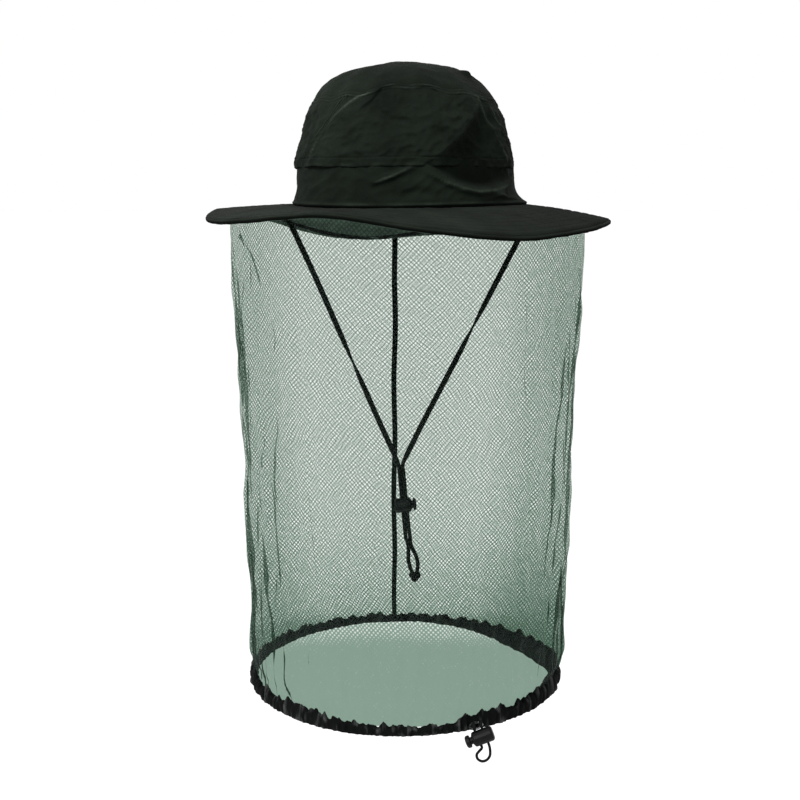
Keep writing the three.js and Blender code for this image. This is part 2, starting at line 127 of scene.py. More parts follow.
def grid(name, place, us, vs, size, closed=False, flip=False, capped=False):
    """A sheet of quads. place(u, v) takes arrays of numbers from 0 to 1 and gives points, with or without
    marks; size is the cloth's width and length in metres, for its UV map. A closed sheet joins up in the
    u direction, and a capped one has a face over its last row."""
    u, v = np.meshgrid(us, vs)
    placed = place(u.ravel(), v.ravel())
    points, marks = placed if isinstance(placed, tuple) else (placed, None)
    across = len(us)
    spans = across if closed else across - 1
    ends = np.append(us, 1.0) if closed else us
    faces, uvs = [], []
    for j in range(len(vs) - 1):
        for i in range(spans):
            k = (i + 1) % across
            corners = [(i, j, ends[i]), (k, j, ends[i + 1]), (k, j + 1, ends[i + 1]), (i, j + 1, ends[i])]
            if flip:
                corners.reverse()
            faces.append([row * across + column for column, row, _ in corners])
            uvs += [(share * size[0], vs[row] * size[1]) for _, row, share in corners]
    if capped:
        faces.append(list(range(len(points) - across, len(points))))
        uvs += [(size[0] / 2, size[1])] * across
    return new_object(name, points, faces, uvs, marks)


def around(count):
    """Shares of a closed ring."""
    return np.arange(count) / count


def ring_grid(name, place, columns, rows, size, **settings):
    """A closed sheet round the hat. place(angle, v) takes angles in radians."""
    return grid(name, lambda u, v: place(TURN * u, v), around(columns), rows, size, closed=True, **settings)


def thicken(piece, thickness, offset=-1.0):
    """Gives a sheet real thickness: offset -1 grows it inwards, 1 outwards and 0 both ways."""
    solidify = piece.modifiers.new("thickness", "SOLIDIFY")
    solidify.thickness = thickness
    solidify.offset = offset


def noise_at(spots, scale=1.0, shift=(0, 0, 0)):
    """Smooth noise from about -1 to 1, read at each spot times scale, plus shift."""
    return np.array([noise.noise(Vector(spot) * scale + Vector(shift)) for spot in spots])


def ripple(points, size, seed):
    """Smooth noise at each point; size is the width of its bumps in metres."""
    return noise_at(points, 1 / size, (seed * 7.31, seed * 3.17, seed * 5.73))


def crumple(points, size, seed):
    """Like ripple, with sharp crests in place of round ones."""
    return 0.6 - 2 * np.abs(ripple(points, size, seed))


def ridge(distance, width):
    """1 on a line, falling to 0 within about two widths of it."""
    return np.exp(-(distance / width) ** 2)


def rising(value, start, end):
    """0 up to start and 1 from end on, with an even slope between. It falls where end is below start."""
    return np.clip((value - start) / (end - start), 0, 1)


def turns_between(a, b):
    """The smallest difference of two angles, in radians."""
    return (a - b + math.pi) % TURN - math.pi


def ridge_at(angle, degrees, spread):
    """1 at that many degrees round the hat, falling to 0 within about two spreads, in radians."""
    return ridge(turns_between(angle, math.radians(degrees)), spread)


def spots_round(angle, z, scale=1.0):
    """Places for noise_at on a cylinder that goes round with the angle."""
    return np.stack(np.broadcast_arrays(np.cos(angle) * scale, np.sin(angle) * scale, z), axis=1)


def smooth_path(points, step):
    """Points about a step apart on the centripetal Catmull-Rom curve through the given ones."""
    p = np.array(points, float)
    p = np.vstack([2 * p[0] - p[1], p, 2 * p[-1] - p[-2]])
    fine = []
    for i in range(1, len(p) - 2):
        knots = np.cumsum([0, *(np.linalg.norm(p[i + k] - p[i + k - 1]) ** 0.5 for k in range(3))])
        t = np.linspace(knots[1], knots[2], 24, endpoint=False)[:, None]

        def between(a, b, start, end):
            return a * (end - t) / (end - start) + b * (t - start) / (end - start)

        a1 = between(p[i - 1], p[i], knots[0], knots[1])
        a2 = between(p[i], p[i + 1], knots[1], knots[2])
        a3 = between(p[i + 1], p[i + 2], knots[2], knots[3])
        b1 = between(a1, a2, knots[0], knots[2])
        b2 = between(a2, a3, knots[1], knots[3])
        fine.append(between(b1, b2, knots[1], knots[2]))
    fine = np.vstack([*fine, p[-2]])
    return spaced(fine, step)


def spaced(line, step):
    """The line's points put a step apart."""
    along = np.concatenate([[0], np.cumsum(np.linalg.norm(np.diff(line, axis=0), axis=1))])
    stops = np.linspace(0, along[-1], max(2, round(along[-1] / step) + 1))
    return np.stack([np.interp(stops, along, line[:, k]) for k in range(3)], axis=1)


def path_frames(line, start_side):
    """Side and up directions along a line, without twist."""
    tangents = np.gradient(line, axis=0)
    tangents /= np.linalg.norm(tangents, axis=1)[:, None]
    side = np.array(start_side, float)
    sides = []
    for tangent in tangents:
        side = side - tangent * (side @ tangent)
        side /= np.linalg.norm(side)
        sides.append(side)
    sides = np.array(sides)
    return sides, np.cross(tangents, sides)


def sweep(name, line, half_width, half_depth, turn=0.0, sides=16, start_side=(0, 1, 0), squareness=2.0):
    """A tube along a line. Its section is an oval, or a rounded band where squareness is over 2.
    half_width, half_depth and turn (radians) may be arrays along the line."""
    count = len(line)
    side, up = path_frames(line, start_side)
    angle = TURN * np.arange(sides) / sides
    power = 2 / squareness
    wide = np.sign(np.cos(angle)) * np.abs(np.cos(angle)) ** power
    deep = np.sign(np.sin(angle)) * np.abs(np.sin(angle)) ** power
    turn = np.broadcast_to(turn, count)[:, None]
    broad = side * np.cos(turn) + up * np.sin(turn)
    thin = up * np.cos(turn) - side * np.sin(turn)
    half_width = np.broadcast_to(half_width, count)
    half_depth = np.broadcast_to(half_depth, count)
    rings = (
        line[:, None]
        + broad[:, None] * (half_width[:, None] * wide)[..., None]
        + thin[:, None] * (half_depth[:, None] * deep)[..., None]
    )
    points = [*rings.reshape(-1, 3), line[0], line[-1]]
    along = np.concatenate([[0], np.cumsum(np.linalg.norm(np.diff(line, axis=0), axis=1))])
    girth = math.pi * float(np.mean(half_width + half_depth))
    faces, uvs = [], []
    for i in range(count - 1):
        for j in range(sides):
            k = (j + 1) % sides
            faces.append([i * sides + j, i * sides + k, (i + 1) * sides + k, (i + 1) * sides + j])
            low, high = girth * j / sides, girth * (j + 1) / sides
            uvs += [(low, along[i]), (high, along[i]), (high, along[i + 1]), (low, along[i + 1])]
    first, last = count * sides, count * sides + 1
    for j in range(sides):
        k = (j + 1) % sides
        faces += [[first, k, j], [last, (count - 1) * sides + j, (count - 1) * sides + k]]
        uvs += [(0, 0)] * 6
    return new_object(name, points, faces, uvs)


# ---- Material helpers ------------------------------------------------------------------------------
class Nodes:
    """A short way to build one material's node tree."""

    def __init__(self, name):
        self.material = bpy.data.materials.new(name)
        self.material.use_nodes = True
        self.tree = self.material.node_tree
        self.shader = self.tree.nodes["Principled BSDF"]

    def add(self, kind, inputs=None, **settings):
        node = self.tree.nodes.new(kind)
        for key, value in settings.items():
            setattr(node, key, value)
        for key, value in (inputs or {}).items():
            self.feed(node.inputs[key], value)
        return node

    def feed(self, socket, value):
        if isinstance(value, bpy.types.NodeSocket):
            self.tree.links.new(value, socket)
        else:
            socket.default_value = value

    def look(self, name, value):
        """Sets one of the shader's own inputs, to a socket or a constant."""
        self.feed(self.shader.inputs[name], value)

    def math(self, operation, a, b=0.0, c=0.0):
        return self.add("ShaderNodeMath", {0: a, 1: b, 2: c}, operation=operation).outputs[0]

    def vector(self, operation, a, b=(0, 0, 0), scale=1.0):
        node = self.add("ShaderNodeVectorMath", {0: a, 1: b}, operation=operation)
        if operation == "SCALE":
            self.feed(node.inputs["Scale"], scale)
        return node.outputs["Value" if operation == "DOT_PRODUCT" else 0]

    def place(self):
        """Where a point is on its piece, in metres."""
        return self.add("ShaderNodeTexCoord").outputs["Object"]

    def cloth_place(self):
        """Where a point is on the flat cloth, in metres."""
        return self.add("ShaderNodeUVMap", uv_map="cloth").outputs["UV"]

    def noise(self, place, size, detail=3.0, roughness=0.55):
        inputs = {"Vector": place, "Scale": 1 / size, "Detail": detail, "Roughness": roughness}
        return self.add("ShaderNodeTexNoise", inputs).outputs["Fac"]

    def spread(self, value, low, high, new_low, new_high):
        inputs = {"Value": value, "From Min": low, "From Max": high, "To Min": new_low, "To Max": new_high}
        return self.add("ShaderNodeMapRange", inputs).outputs["Result"]

    def tint(self, share, colour_a, colour_b):
        """Colours from a to b; a may be a socket."""
        node = self.add("ShaderNodeMix", {"Factor": share}, data_type="RGBA")
        self.feed(node.inputs[6], colour_a if isinstance(colour_a, bpy.types.NodeSocket) else (*colour_a, 1))
        self.feed(node.inputs[7], (*colour_b, 1))
        return node.outputs[2]

    def bump(self, height, distance, strength=1.0):
        inputs = {"Height": height, "Distance": distance, "Strength": strength}
        node = self.add("ShaderNodeBump", inputs)
        self.look("Normal", node.outputs["Normal"])


def weave_height(nodes, place, pitch):
    """Plain weave: the warp is on top in every other square, and the weft in the rest."""
    wave = nodes.vector("SCALE", place, scale=math.pi / pitch)
    parts = nodes.add("ShaderNodeSeparateXYZ", {0: wave}).outputs
    warp = nodes.math("SINE", parts["X"])
    weft = nodes.math("SINE", parts["Y"])
    over = nodes.math("MULTIPLY", warp, weft)
    crowns = nodes.math("MAXIMUM", nodes.math("ABSOLUTE", warp), nodes.math("ABSOLUTE", weft))
    return nodes.math("MULTIPLY_ADD", over, 0.5, crowns)


def cloth_material(name, colour, pitch=0.00045, roughness=0.88, wear_and_highlight_lift=0.010):
    """Woven cloth: colour varies a little with dye and wear. The mesh's own numbers say where it is
    painted pale, as wear and as painted highlight, and where it is deep: painted shade, dark and matt, down
    in a seam, a fold or a hollow, under the brim's edge and on the brim's right side."""
    nodes = Nodes(name)
    place = nodes.cloth_place()
    shade = nodes.noise(nodes.place(), 0.035)
    flecks = nodes.noise(nodes.place(), 0.0016, detail=2.0)
    wear = nodes.spread(flecks, 0.62, 0.8, 0.0, 0.35)
    share = nodes.math("ADD", nodes.spread(shade, 0.3, 0.7, 0.0, 1.0), wear)
    dark = [c * 0.6 for c in colour]
    light = [c * 1.5 for c in colour]
    # The pale colour stands for worn cloth and for painted highlights, and the darkest one for painted shade.
    wear_and_highlight_colour = [c * 4.5 + wear_and_highlight_lift for c in colour]
    painted_shade_colour = [c * 0.2 for c in colour]
    rubbed = nodes.add("ShaderNodeAttribute", attribute_name="rubbed").outputs["Fac"]
    rubbed = nodes.math("MULTIPLY", rubbed, nodes.spread(flecks, 0.3, 0.7, 0.5, 1.3))
    # deep is painted shade: it darkens the colour and dulls the gloss and sheen where shade falls.
    deep = nodes.add("ShaderNodeAttribute", attribute_name="deep").outputs["Fac"]
    base = nodes.tint(deep, nodes.tint(rubbed, nodes.tint(share, dark, light), wear_and_highlight_colour), painted_shade_colour)
    nodes.look("Base Color", base)
    nodes.look("Roughness", nodes.spread(flecks, 0.3, 0.7, roughness - 0.07, roughness + 0.07))
    nodes.look("Specular IOR Level", nodes.spread(deep, 0.0, 1.0, 0.04, 0.004))
    nodes.look("Sheen Weight", nodes.spread(deep, 0.0, 1.0, 0.006, 0.0))
    nodes.look("Sheen Roughness", 0.5)
    nodes.bump(weave_height(nodes, place, pitch), pitch * 0.3, 0.5)
    return nodes.material


NET_PITCH = 0.0025  # from one thread to the next
THREAD_FUZZ = 0.15  # how far a thread's loose fibres blur its edges, as a share of the pitch


def net_material():
    """Diamond netting: two sets of fine dark threads, knotted where they cross, that let a little light
    through. The mesh's own thread_share says how much of the pitch a thread fills."""
    nodes = Nodes("diamond_netting")
    flat = nodes.cloth_place()
    sway = nodes.noise(flat, 0.014, detail=1.0)
    sway = nodes.add("ShaderNodeCombineXYZ", {0: sway, 1: nodes.noise(flat, 0.009, detail=1.0)}).outputs[0]
    spot = nodes.vector("ADD", flat, nodes.vector("SCALE", sway, scale=0.0022))

    def from_middle(direction):
        across = nodes.vector("DOT_PRODUCT", spot, tuple(d / NET_PITCH for d in direction))
        return nodes.math("ABSOLUTE", nodes.math("SUBTRACT", nodes.math("FRACT", across), 0.5))

    one, other = from_middle((0.682, 0.731, 0.0)), from_middle((0.719, -0.695, 0.0))
    share = nodes.add("ShaderNodeAttribute", attribute_name="thread_share").outputs["Fac"]
    uneven = nodes.spread(nodes.noise(flat, 0.005, detail=2.0), 0.3, 0.7, 0.90, 1.10)
    width = nodes.math("MULTIPLY", share, uneven)

    def covers(distance, share):
        past = nodes.math("SUBTRACT", distance, nodes.math("MULTIPLY_ADD", width, -share, 0.5))
        return nodes.spread(past, -THREAD_FUZZ, THREAD_FUZZ, 0.0, 1.0)

    thread = covers(nodes.math("MAXIMUM", one, other), 0.5)
    knot = covers(nodes.math("MINIMUM", one, other), 0.8)
    solid = nodes.math("MAXIMUM", thread, knot)
    shade = nodes.noise(flat, 0.02)
    colour = nodes.tint(shade, (0.008, 0.014, 0.011), (0.012, 0.020, 0.016))
    nodes.look("Base Color", colour)
    nodes.look("Roughness", 0.6)
    nodes.look("Specular IOR Level", 0.1)
    hole = nodes.add("ShaderNodeBsdfTransparent", {"Color": (0.93, 0.95, 0.935, 1)}).outputs[0]
    passed = nodes.add("ShaderNodeBsdfTransparent", {"Color": (0.40, 0.575, 0.462, 1)}).outputs[0]
    strand = nodes.add("ShaderNodeMixShader", {0: 0.52, 1: passed, 2: nodes.shader.outputs[0]}).outputs[0]
    cloth = nodes.add("ShaderNodeMixShader", {0: solid, 1: hole, 2: strand}).outputs[0]
    nodes.feed(nodes.tree.nodes["Material Output"].inputs["Surface"], cloth)
    return nodes.material


def braid_material(name, colour, strand):
    """A braided cord: strands cross in a herringbone, and their crowns are a little paler."""
    nodes = Nodes(name)
    wave = nodes.vector("SCALE", nodes.cloth_place(), scale=math.pi / strand)
    parts = nodes.add("ShaderNodeSeparateXYZ", {0: wave}).outputs
    left = nodes.math("SINE", nodes.math("ADD", parts["X"], parts["Y"]))
    right = nodes.math("SINE", nodes.math("SUBTRACT", parts["X"], parts["Y"]))
    height = nodes.math("MULTIPLY", nodes.math("ABSOLUTE", left), nodes.math("ABSOLUTE", right))
    fuzz = nodes.noise(nodes.place(), 0.0008)
    share = nodes.math("MULTIPLY_ADD", fuzz, 0.5, nodes.math("MULTIPLY", height, 0.6))
    nodes.look("Base Color", nodes.tint(share, [c * 0.4 for c in colour], [c * 3.2 for c in colour]))
    nodes.look("Roughness", nodes.spread(fuzz, 0.3, 0.7, 0.6, 0.85))
    nodes.look("Specular IOR Level", 0.05)
    nodes.bump(height, strand * 0.25, 0.8)
    return nodes.material


def plastic_material():
    """Moulded black plastic with a fine spark-eroded grain and rubbed, shinier patches."""
    nodes = Nodes("moulded_plastic")
    grain = nodes.noise(nodes.place(), 0.00035, detail=2.0)
    rubbed = nodes.noise(nodes.place(), 0.004)
    nodes.look("Base Color", nodes.tint(rubbed, (0.0022, 0.0024, 0.0023), (0.0045, 0.0048, 0.0046)))
    nodes.look("Roughness", nodes.spread(rubbed, 0.3, 0.7, 0.32, 0.5))
    nodes.look("Specular IOR Level", 0.08)
    nodes.bump(grain, 0.00005, 0.6)
    return nodes.material


def metal_material(name, colour, roughness):
    """Plated wire or sheet with fine scratches."""
    nodes = Nodes(name)
    scratches = nodes.noise(nodes.vector("MULTIPLY", nodes.place(), (1.0, 1.0, 8.0)), 0.0012)
    nodes.look("Base Color", nodes.tint(scratches, [c * 0.8 for c in colour], colour))
    nodes.look("Roughness", nodes.spread(scratches, 0.3, 0.7, roughness - 0.08, roughness + 0.1))
    nodes.look("Metallic", 1.0)
    nodes.bump(scratches, 0.00003, 0.4)
    return nodes.material


def joint_called(name):
    return next(joint for joint in frame["joints"] if joint["name"] == name)


def finish(piece, material, slot, body, *nodes):
    """The last steps of every piece: its material, its body and what it stands for. slot is not used."""
    piece.data.materials.clear()
    piece.data.materials.append(material)
    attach(piece, body)
    if nodes:
        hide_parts(*nodes)
    return piece


# ---- Shapes shared by several pieces ---------------------------------------------------------------
def brim_edge_height(angle):
    height = -BRIM_MEAN_DROOP
    for count, rise, crest in BRIM_WAVES:
        height = height + rise * np.cos(count * angle - math.radians(crest))
    for degrees, spread, rise in BRIM_LIFTS:
        height = height + rise * MM * ridge_at(angle, degrees, spread)
    return height


def seam_dip(angle):
    """How far the seam between the crown and the brim sags at the front left."""
    return 0.0024 * ridge_at(angle, -110, 1.1)


def brim_point(angle, out, lift):
    """A point of the brim's middle surface, out metres outwards from the head opening."""
    share = np.maximum(out, 0) / BRIM_WIDTH
    z = brim_edge_height(angle) * share**BRIM_DROOP_POWER + lift
    z = z - seam_dip(angle) * ridge(out, 0.030)
    out = out * (1 - 0.07 * ridge_at(angle, 180, 0.75))  # it is narrower at the left
    x = (HEAD_HALF_WIDTH + out) * np.cos(angle)
    y = (HEAD_HALF_DEPTH + out) * np.sin(angle)
    return np.stack(np.broadcast_arrays(x, y, z), axis=-1)


def back_seam(angle):
    """1 at the back left, where the net's top seam runs near the brim's edge."""
    return ridge_at(angle, 102, 0.75)


def net_seam_out(angle):
    """How far out under the brim the net's top seam is."""
    return NET_TOP_INSET + 0.0155 * back_seam(angle)


def crown_half_width(z):
    share = rising(z, OVERHANG_HEIGHT, CROWN_HEIGHT)
    return OVERHANG_HALF_WIDTH * (1 - CROWN_TAPER * share) * np.sqrt(1 - share**CROWN_ROUNDING)


def oval(angle, half_width, z, out=0.0):
    """A point on the head's oval plan; out moves it outwards."""
    x = (half_width + out) * np.cos(angle)
    y = (half_width * HEAD_DEPTH_RATIO + out) * np.sin(angle)
    return np.stack(np.broadcast_arrays(x, y, z), axis=-1)


def from_line(angle, z, route):
    """The distance from a line on the crown, which side of it a point is on (1 is to the right of it going
    up), and the share of the way along it. route is points along it: (degrees round, millimetres high)."""
    girth = HEAD_HALF_WIDTH * (1 + HEAD_DEPTH_RATIO) / 2
    stops = np.array(route) * (1, MM)
    middle = math.radians(stops[:, 0].mean())
    here = np.stack([turns_between(angle, middle) * girth, z], axis=1)
    line = np.stack([turns_between(np.radians(stops[:, 0]), middle) * girth, stops[:, 1]], axis=1)
    fine = np.linspace(0, len(line) - 1, 40)
    line = np.stack([np.interp(fine, range(len(line)), line[:, k]) for k in range(2)], axis=1)
    gaps = here[:, None] - line[None]
    nearest = (gaps**2).sum(axis=2).argmin(axis=1)
    gap = gaps[np.arange(len(here)), nearest]
    heading = np.gradient(line, axis=0)[nearest]
    side = np.sign(gap[:, 0] * heading[:, 1] - gap[:, 1] * heading[:, 0])
    return np.hypot(gap[:, 0], gap[:, 1]), side, (nearest + 0.5) / len(line)


def crease(angle, z, route, depth, width):
    """How far a crease moves the cloth outwards."""
    gap, _, along = from_line(angle, z, route)
    return depth * np.sin(math.pi * along) ** 0.6 * ridge(gap, width)


def hollow(angle, z, route, depth, width, reach):
    """How far the cloth sinks on the right of a line, within a width of it, before it comes back out."""
    gap, side, along = from_line(angle, z, route)
    gap = np.clip(gap * side, 0, None)
    return -depth * np.sin(math.pi * along) ** 0.5 * (1 - np.exp(-gap / width)) * np.exp(-gap / reach)


# ---- Cords -----------------------------------------------------------------------------------------
CHIN_LOCK = (-0.0003, 0.0, -0.2388)
CHIN_LEAN = math.radians(5.4)  # how far the paired strands and their lock lean over
CHIN_HALF_SPACING = 0.0016  # from the middle to each paired strand
LACE_WIDTH = 0.0044
LACE_DEPTH = 0.0018
BUNCHED = 0.0032  # a strand's width where it is squeezed round, beside the other one
BUNCHED_ABOVE_LOCK = 0.045
BUNCHING = 0.010  # the height over which it gets bunched
TURNING_OVER = 0.068  # the height over which a strand turns over


def chin_point(side, rise, behind=0.0):
    """A point beside the paired strands: side is across them, rise is up along them from the lock."""
    x = CHIN_LOCK[0] + side * math.cos(CHIN_LEAN) - rise * math.sin(CHIN_LEAN)
    z = CHIN_LOCK[2] + side * math.sin(CHIN_LEAN) + rise * math.cos(CHIN_LEAN)
    return (x, behind, z)


def paired_strand(sign):
    """From where the strands come together, through the lock and a pinch, and round to the end knot."""
    straight = [chin_point(sign * CHIN_HALF_SPACING, rise) for rise in (0.033, 0.028, 0.020, 0.0, -0.0205)]
    low = [  # from the strands' own middle, the middle's drift to the right, rise, and how far behind
        (0.0017, 0.0002, -0.027, 0.0003), (0.0010, 0.0008, -0.033, 0.0013), (0.0024, 0.0017, -0.040, 0.0005),
        (0.0036, 0.0024, -0.0465, 0.0), (0.0030, 0.0028, -0.053, 0.0), (0.0014, 0.0028, -0.0585, 0.0006),
    ]
    spread = [chin_point(sign * side + drift, rise, sign * behind) for side, drift, rise, behind in low]
    return straight + spread


# Each strand, from its tab under the brim down to where the two pair up, and on to the knot.
CHIN_LEFT_ROUTE = [
    (-0.0905, -0.008, -0.0091), (-0.0899, -0.008, -0.0115), (-0.0882, -0.0078, -0.015),
    (-0.0726, -0.0062, -0.049), (-0.0545, -0.0046, -0.091), (-0.037, -0.003, -0.132),
    (-0.0215, -0.0016, -0.168), (-0.0104, -0.0005, -0.193), *paired_strand(-1),
]
CHIN_RIGHT_ROUTE = [
    (0.0970, 0.008, -0.0091), (0.0964, 0.008, -0.0115), (0.0948, 0.0078, -0.015),
    (0.0765, 0.0063, -0.051), (0.0558, 0.0046, -0.091), (0.0348, 0.0029, -0.132),
    (0.016, 0.0014, -0.168), (0.0042, 0.0003, -0.192), *paired_strand(1),
]


def make_lace(name, route, node, turned_at):
    """One strand of the flat chin cord. It turns over once as it hangs, at the height turned_at, and is
    bunched round where it is paired."""
    line = smooth_path(route, 0.0012)
    z = line[:, 2]
    over = rising(z, turned_at + TURNING_OVER / 2, turned_at - TURNING_OVER / 2)
    turn = math.pi * (0.5 - over**2 * (3 - 2 * over))
    bunched_from = CHIN_LOCK[2] + BUNCHED_ABOVE_LOCK
    paired = rising(z, bunched_from, bunched_from - BUNCHING)
    near_lock = ridge(z - CHIN_LOCK[2] + 0.003, 0.020)
    width = (LACE_WIDTH + (BUNCHED - LACE_WIDTH) * paired) / 2
    depth = (LACE_DEPTH + (BUNCHED - LACE_DEPTH) * paired) / 2 * (1 - 0.20 * near_lock)
    lace = sweep(name, line, width, depth, turn, sides=16, squareness=2.6)
    finish(lace, lace_braid, "braided_cord", "hat", node)


def make_end_knot():
    """The two strands' ends, tied together in one tight knot."""
    t = TURN * around(120)
    knot = np.stack([np.sin(t) + 2 * np.sin(2 * t), -np.sin(3 * t), np.cos(t) - 2 * np.cos(2 * t)], axis=1)
    knot = np.vstack([knot, knot[:1]]) * (0.00112, 0.0012, 0.00094) + chin_point(0.0028, -0.0602)
    tied = sweep("chin_cord_end_knot_tied", knot, 0.0019, 0.0016, sides=12, squareness=2.4)
    return finish(tied, lace_braid, "braided_cord", "hat", "chin_cord_end_knot")


EXIT_ANGLE = math.radians(-66)  # where the drawcord comes out of the casing
HEM_HALF_STRANDS = 0.0028  # from the middle to each strand of the loop
HEM_CORD = 0.0020  # the drawcord's diameter
HEM_CORD_HEIGHT = -0.377
HEM_LOCK = (0.0555, -0.126, -0.3815)
HEM_LOCK_TILT = math.radians(158)


def at_exit(along, out, z):
    """A point beside the cord exit: along the hem, outwards from the middle of its casing, and height."""
    x = math.cos(EXIT_ANGLE) * (HEM_RADIUS + out) - math.sin(EXIT_ANGLE) * along
    y = math.sin(EXIT_ANGLE) * (HEM_RADIUS + out) + math.cos(EXIT_ANGLE) * along
    return (x, y, z)


def hem_lock_point(side, rise):
    right, up = math.cos(HEM_LOCK_TILT), math.sin(HEM_LOCK_TILT)
    return (HEM_LOCK[0] + side * right - rise * up, HEM_LOCK[1], HEM_LOCK[2] - side * up - rise * right)


def hem_arch(sign):
    """From inside the casing, out of its eyelet, and in a rounded arch over to the lock."""
    inside = [at_exit(sign * HEM_HALF_STRANDS, out, HEM_CORD_HEIGHT) for out in (-0.001, 0.002)]
    start = np.array(at_exit(sign * HEM_HALF_STRANDS, 0.0045, HEM_CORD_HEIGHT))
    end = np.array(hem_lock_point(-sign * HEM_HALF_STRANDS, 0.0075))
    arch = [  # the share of the way across, and how high above a straight line
        (0, 0), (0.14, -0.0001), (0.24, 0.0004), (0.31, 0.0013), (0.37, 0.0024), (0.48, 0.0034),
        (0.66, 0.0036), (0.84, 0.0030), (0.96, 0.0016),
    ]
    return inside + [tuple(start + share * (end - start) + (0, 0, up)) for share, up in arch]


def hem_strand(sign):
    """Straight through the lock."""
    return [hem_lock_point(sign * HEM_HALF_STRANDS, rise * MM) for rise in (7.5, 5, 0, -5, -8)]


def hem_loop_route():
    """Out of the eyelet, through the lock, round the loop and back."""
    ring = [  # to the right of the lock's middle, and up from it
        (-0.0014, -0.0108), (-0.0034, -0.0138), (-0.0027, -0.0170), (0.0003, -0.0189), (0.0037, -0.0181),
        (0.0061, -0.0150), (0.0064, -0.0108),
    ]
    ring = [(HEM_LOCK[0] + right, HEM_LOCK[1], HEM_LOCK[2] + up) for right, up in ring]
    return hem_arch(-1) + hem_strand(1) + ring + hem_strand(-1)[::-1] + hem_arch(1)[::-1]


def make_hem_loop():
    """The free stretch of the elastic drawcord, out of its eyelet, through the lock and back."""
    route = hem_loop_route()
    line = smooth_path(route, 0.0007)
    loop = sweep("hem_cord_loop_elastic", line, HEM_CORD / 2, HEM_CORD / 2, sides=14, start_side=(1, 0, 0))
    finish(loop, elastic_braid, "elastic_cord", "hem", "hem_cord_loop")


# ---- Crown -----------------------------------------------------------------------------------------
STITCH_ROW = 0.003  # a row of topstitching, from the seam's edge
SEAM_ROLL = 0.0015  # the raised roll of cloth between the seam and its stitches
SEAM_DEPTH = 0.0007
AROUND_CROWN = 0.0016  # metres along the crown's seams for each degree round
CROWN_CLOTH_THICKNESS = 0.0007

CROWN_CREASES = [  # (degrees round, height) along each, how far it moves the cloth outwards, and its width
    ([(-90, 50), (-98, 58), (-106, 68), (-112, 80)], -2, 3),
    ([(-100, 60), (-90, 60), (-84, 56)], -1.4, 2.2),
    ([(-97, 50), (-84, 52), (-72, 60)], 1.2, 2.6),
    ([(-126, 44), (-118, 58), (-108, 66)], 1.4, 3.4),
    ([(-80, 36), (-77, 44), (-70, 48)], 1.4, 2.2),
    ([(-86, 34), (-84, 40), (-86, 46)], 1, 1.8),
    ([(-95, 35), (-93, 41), (-88, 44)], 1, 1.8),
    ([(-128, 36), (-114, 40), (-104, 38)], 1.2, 2.4),
    ([(-62, 72), (-54, 76), (-46, 79)], 1.4, 2.2),
    ([(-64, 66), (-56, 62), (-48, 60)], 1, 2.4),
    ([(-40, 36), (-34, 48), (-36, 62)], 1.8, 3),
    ([(-2, 40), (-14, 52), (-20, 66)], -1.8, 4),
    ([(190, 40), (182, 54), (170, 70)], -1.8, 4),
    ([(84, 40), (75, 56), (60, 70)], -2, 4.5),
    ([(108, 40), (118, 52), (128, 68)], 1.6, 4),
]
# The line of the large fold at the front; the cloth sinks to the right of it.
CROWN_HOLLOW = [(-76, 34), (-62, 48), (-52, 61), (-44, 72)]
FELL_LINES = [  # the second rows of the felled seams at the front
    [(-147, 33.5), (-136.7, 57), (-126.6, 69.5), (-119.5, 79), (-110, 84)],
    [(-31, 73.5), (-28, 62), (-23, 49)],
    [(-25, 31), (-30.7, 46), (-39.7, 65), (-43.5, 80)],
    [(152, 34), (140, 56), (131, 70), (122, 80)],
    [(14, 34), (28, 56), (36, 70), (43, 80)],
]
PAINTED_SEAM_SHADOWS = [  # painted shade: small dark lines under the seam round the crown's top
    [(-110, 79), (-104, 83.5), (-97, 84)],
    [(-84, 83.5), (-77, 84.5), (-71, 81.5)],
    [(-116, 70), (-109, 76), (-104, 83)],
]


def top_seam(angle):
    """The height of the seam round the crown's top, which arches up at the front."""
    return TOP_SEAM_HEIGHT + 0.0072 * ridge_at(angle, -88, 0.62)


def seam_half_angle(z):
    share = (z - OVERHANG_HEIGHT) / (TOP_SEAM_HEIGHT - OVERHANG_HEIGHT)
    return SEAM_HALF_ANGLE_LOW + (SEAM_HALF_ANGLE_TOP - SEAM_HALF_ANGLE_LOW) * share


def crown_wrinkles(angle, z):
    """How far the crown's cloth stands out from its plain shape, away from the seams."""
    points = oval(angle, HEAD_HALF_WIDTH, z * 1.4)
    moved = 0.0014 * ripple(points, 0.045, 1) + 0.0015 * crumple(points, 0.022, 2)
    moved += 0.0009 * crumple(points, 0.010, 3) + 0.0004 * ripple(points, 0.004, 9)
    for route, depth, width in CROWN_CREASES:
        moved += crease(angle, z, route, depth * MM, width * MM)
    moved += hollow(angle, z, CROWN_HOLLOW, 0.0125, 0.007, 0.032)
    return moved


def fell_lines(angle, z):
    """The raised rows beside the seams, painted paler as wear and as painted highlight: 1 on a row."""
    rows = np.zeros(len(angle))
    for route in FELL_LINES:
        gap, _, along = from_line(angle, z, route)
        rows = np.maximum(rows, ridge(gap, 0.0011) * rising(np.minimum(along, 1 - along), 0, 1 / 12))
    return rows


def patchy(along, seed, pitch=0.009):
    """Noise from 0 to 1 along a seam, so that it shows in some places and not in others."""
    return np.clip(0.5 + 1.3 * noise_at([(place / pitch, seed * 9.7, 0) for place in along]), 0, 1)


def seam_wander(angle):
    """How far up the seam round the crown's top wanders."""
    return 0.0034 * noise_at(spots_round(angle, 4.0, 3.4))


def seam_roll(distance):
    """1 on the raised roll of cloth beside a seam, painted paler as wear and as painted highlight."""
    return ridge(distance - SEAM_ROLL, 0.0007)


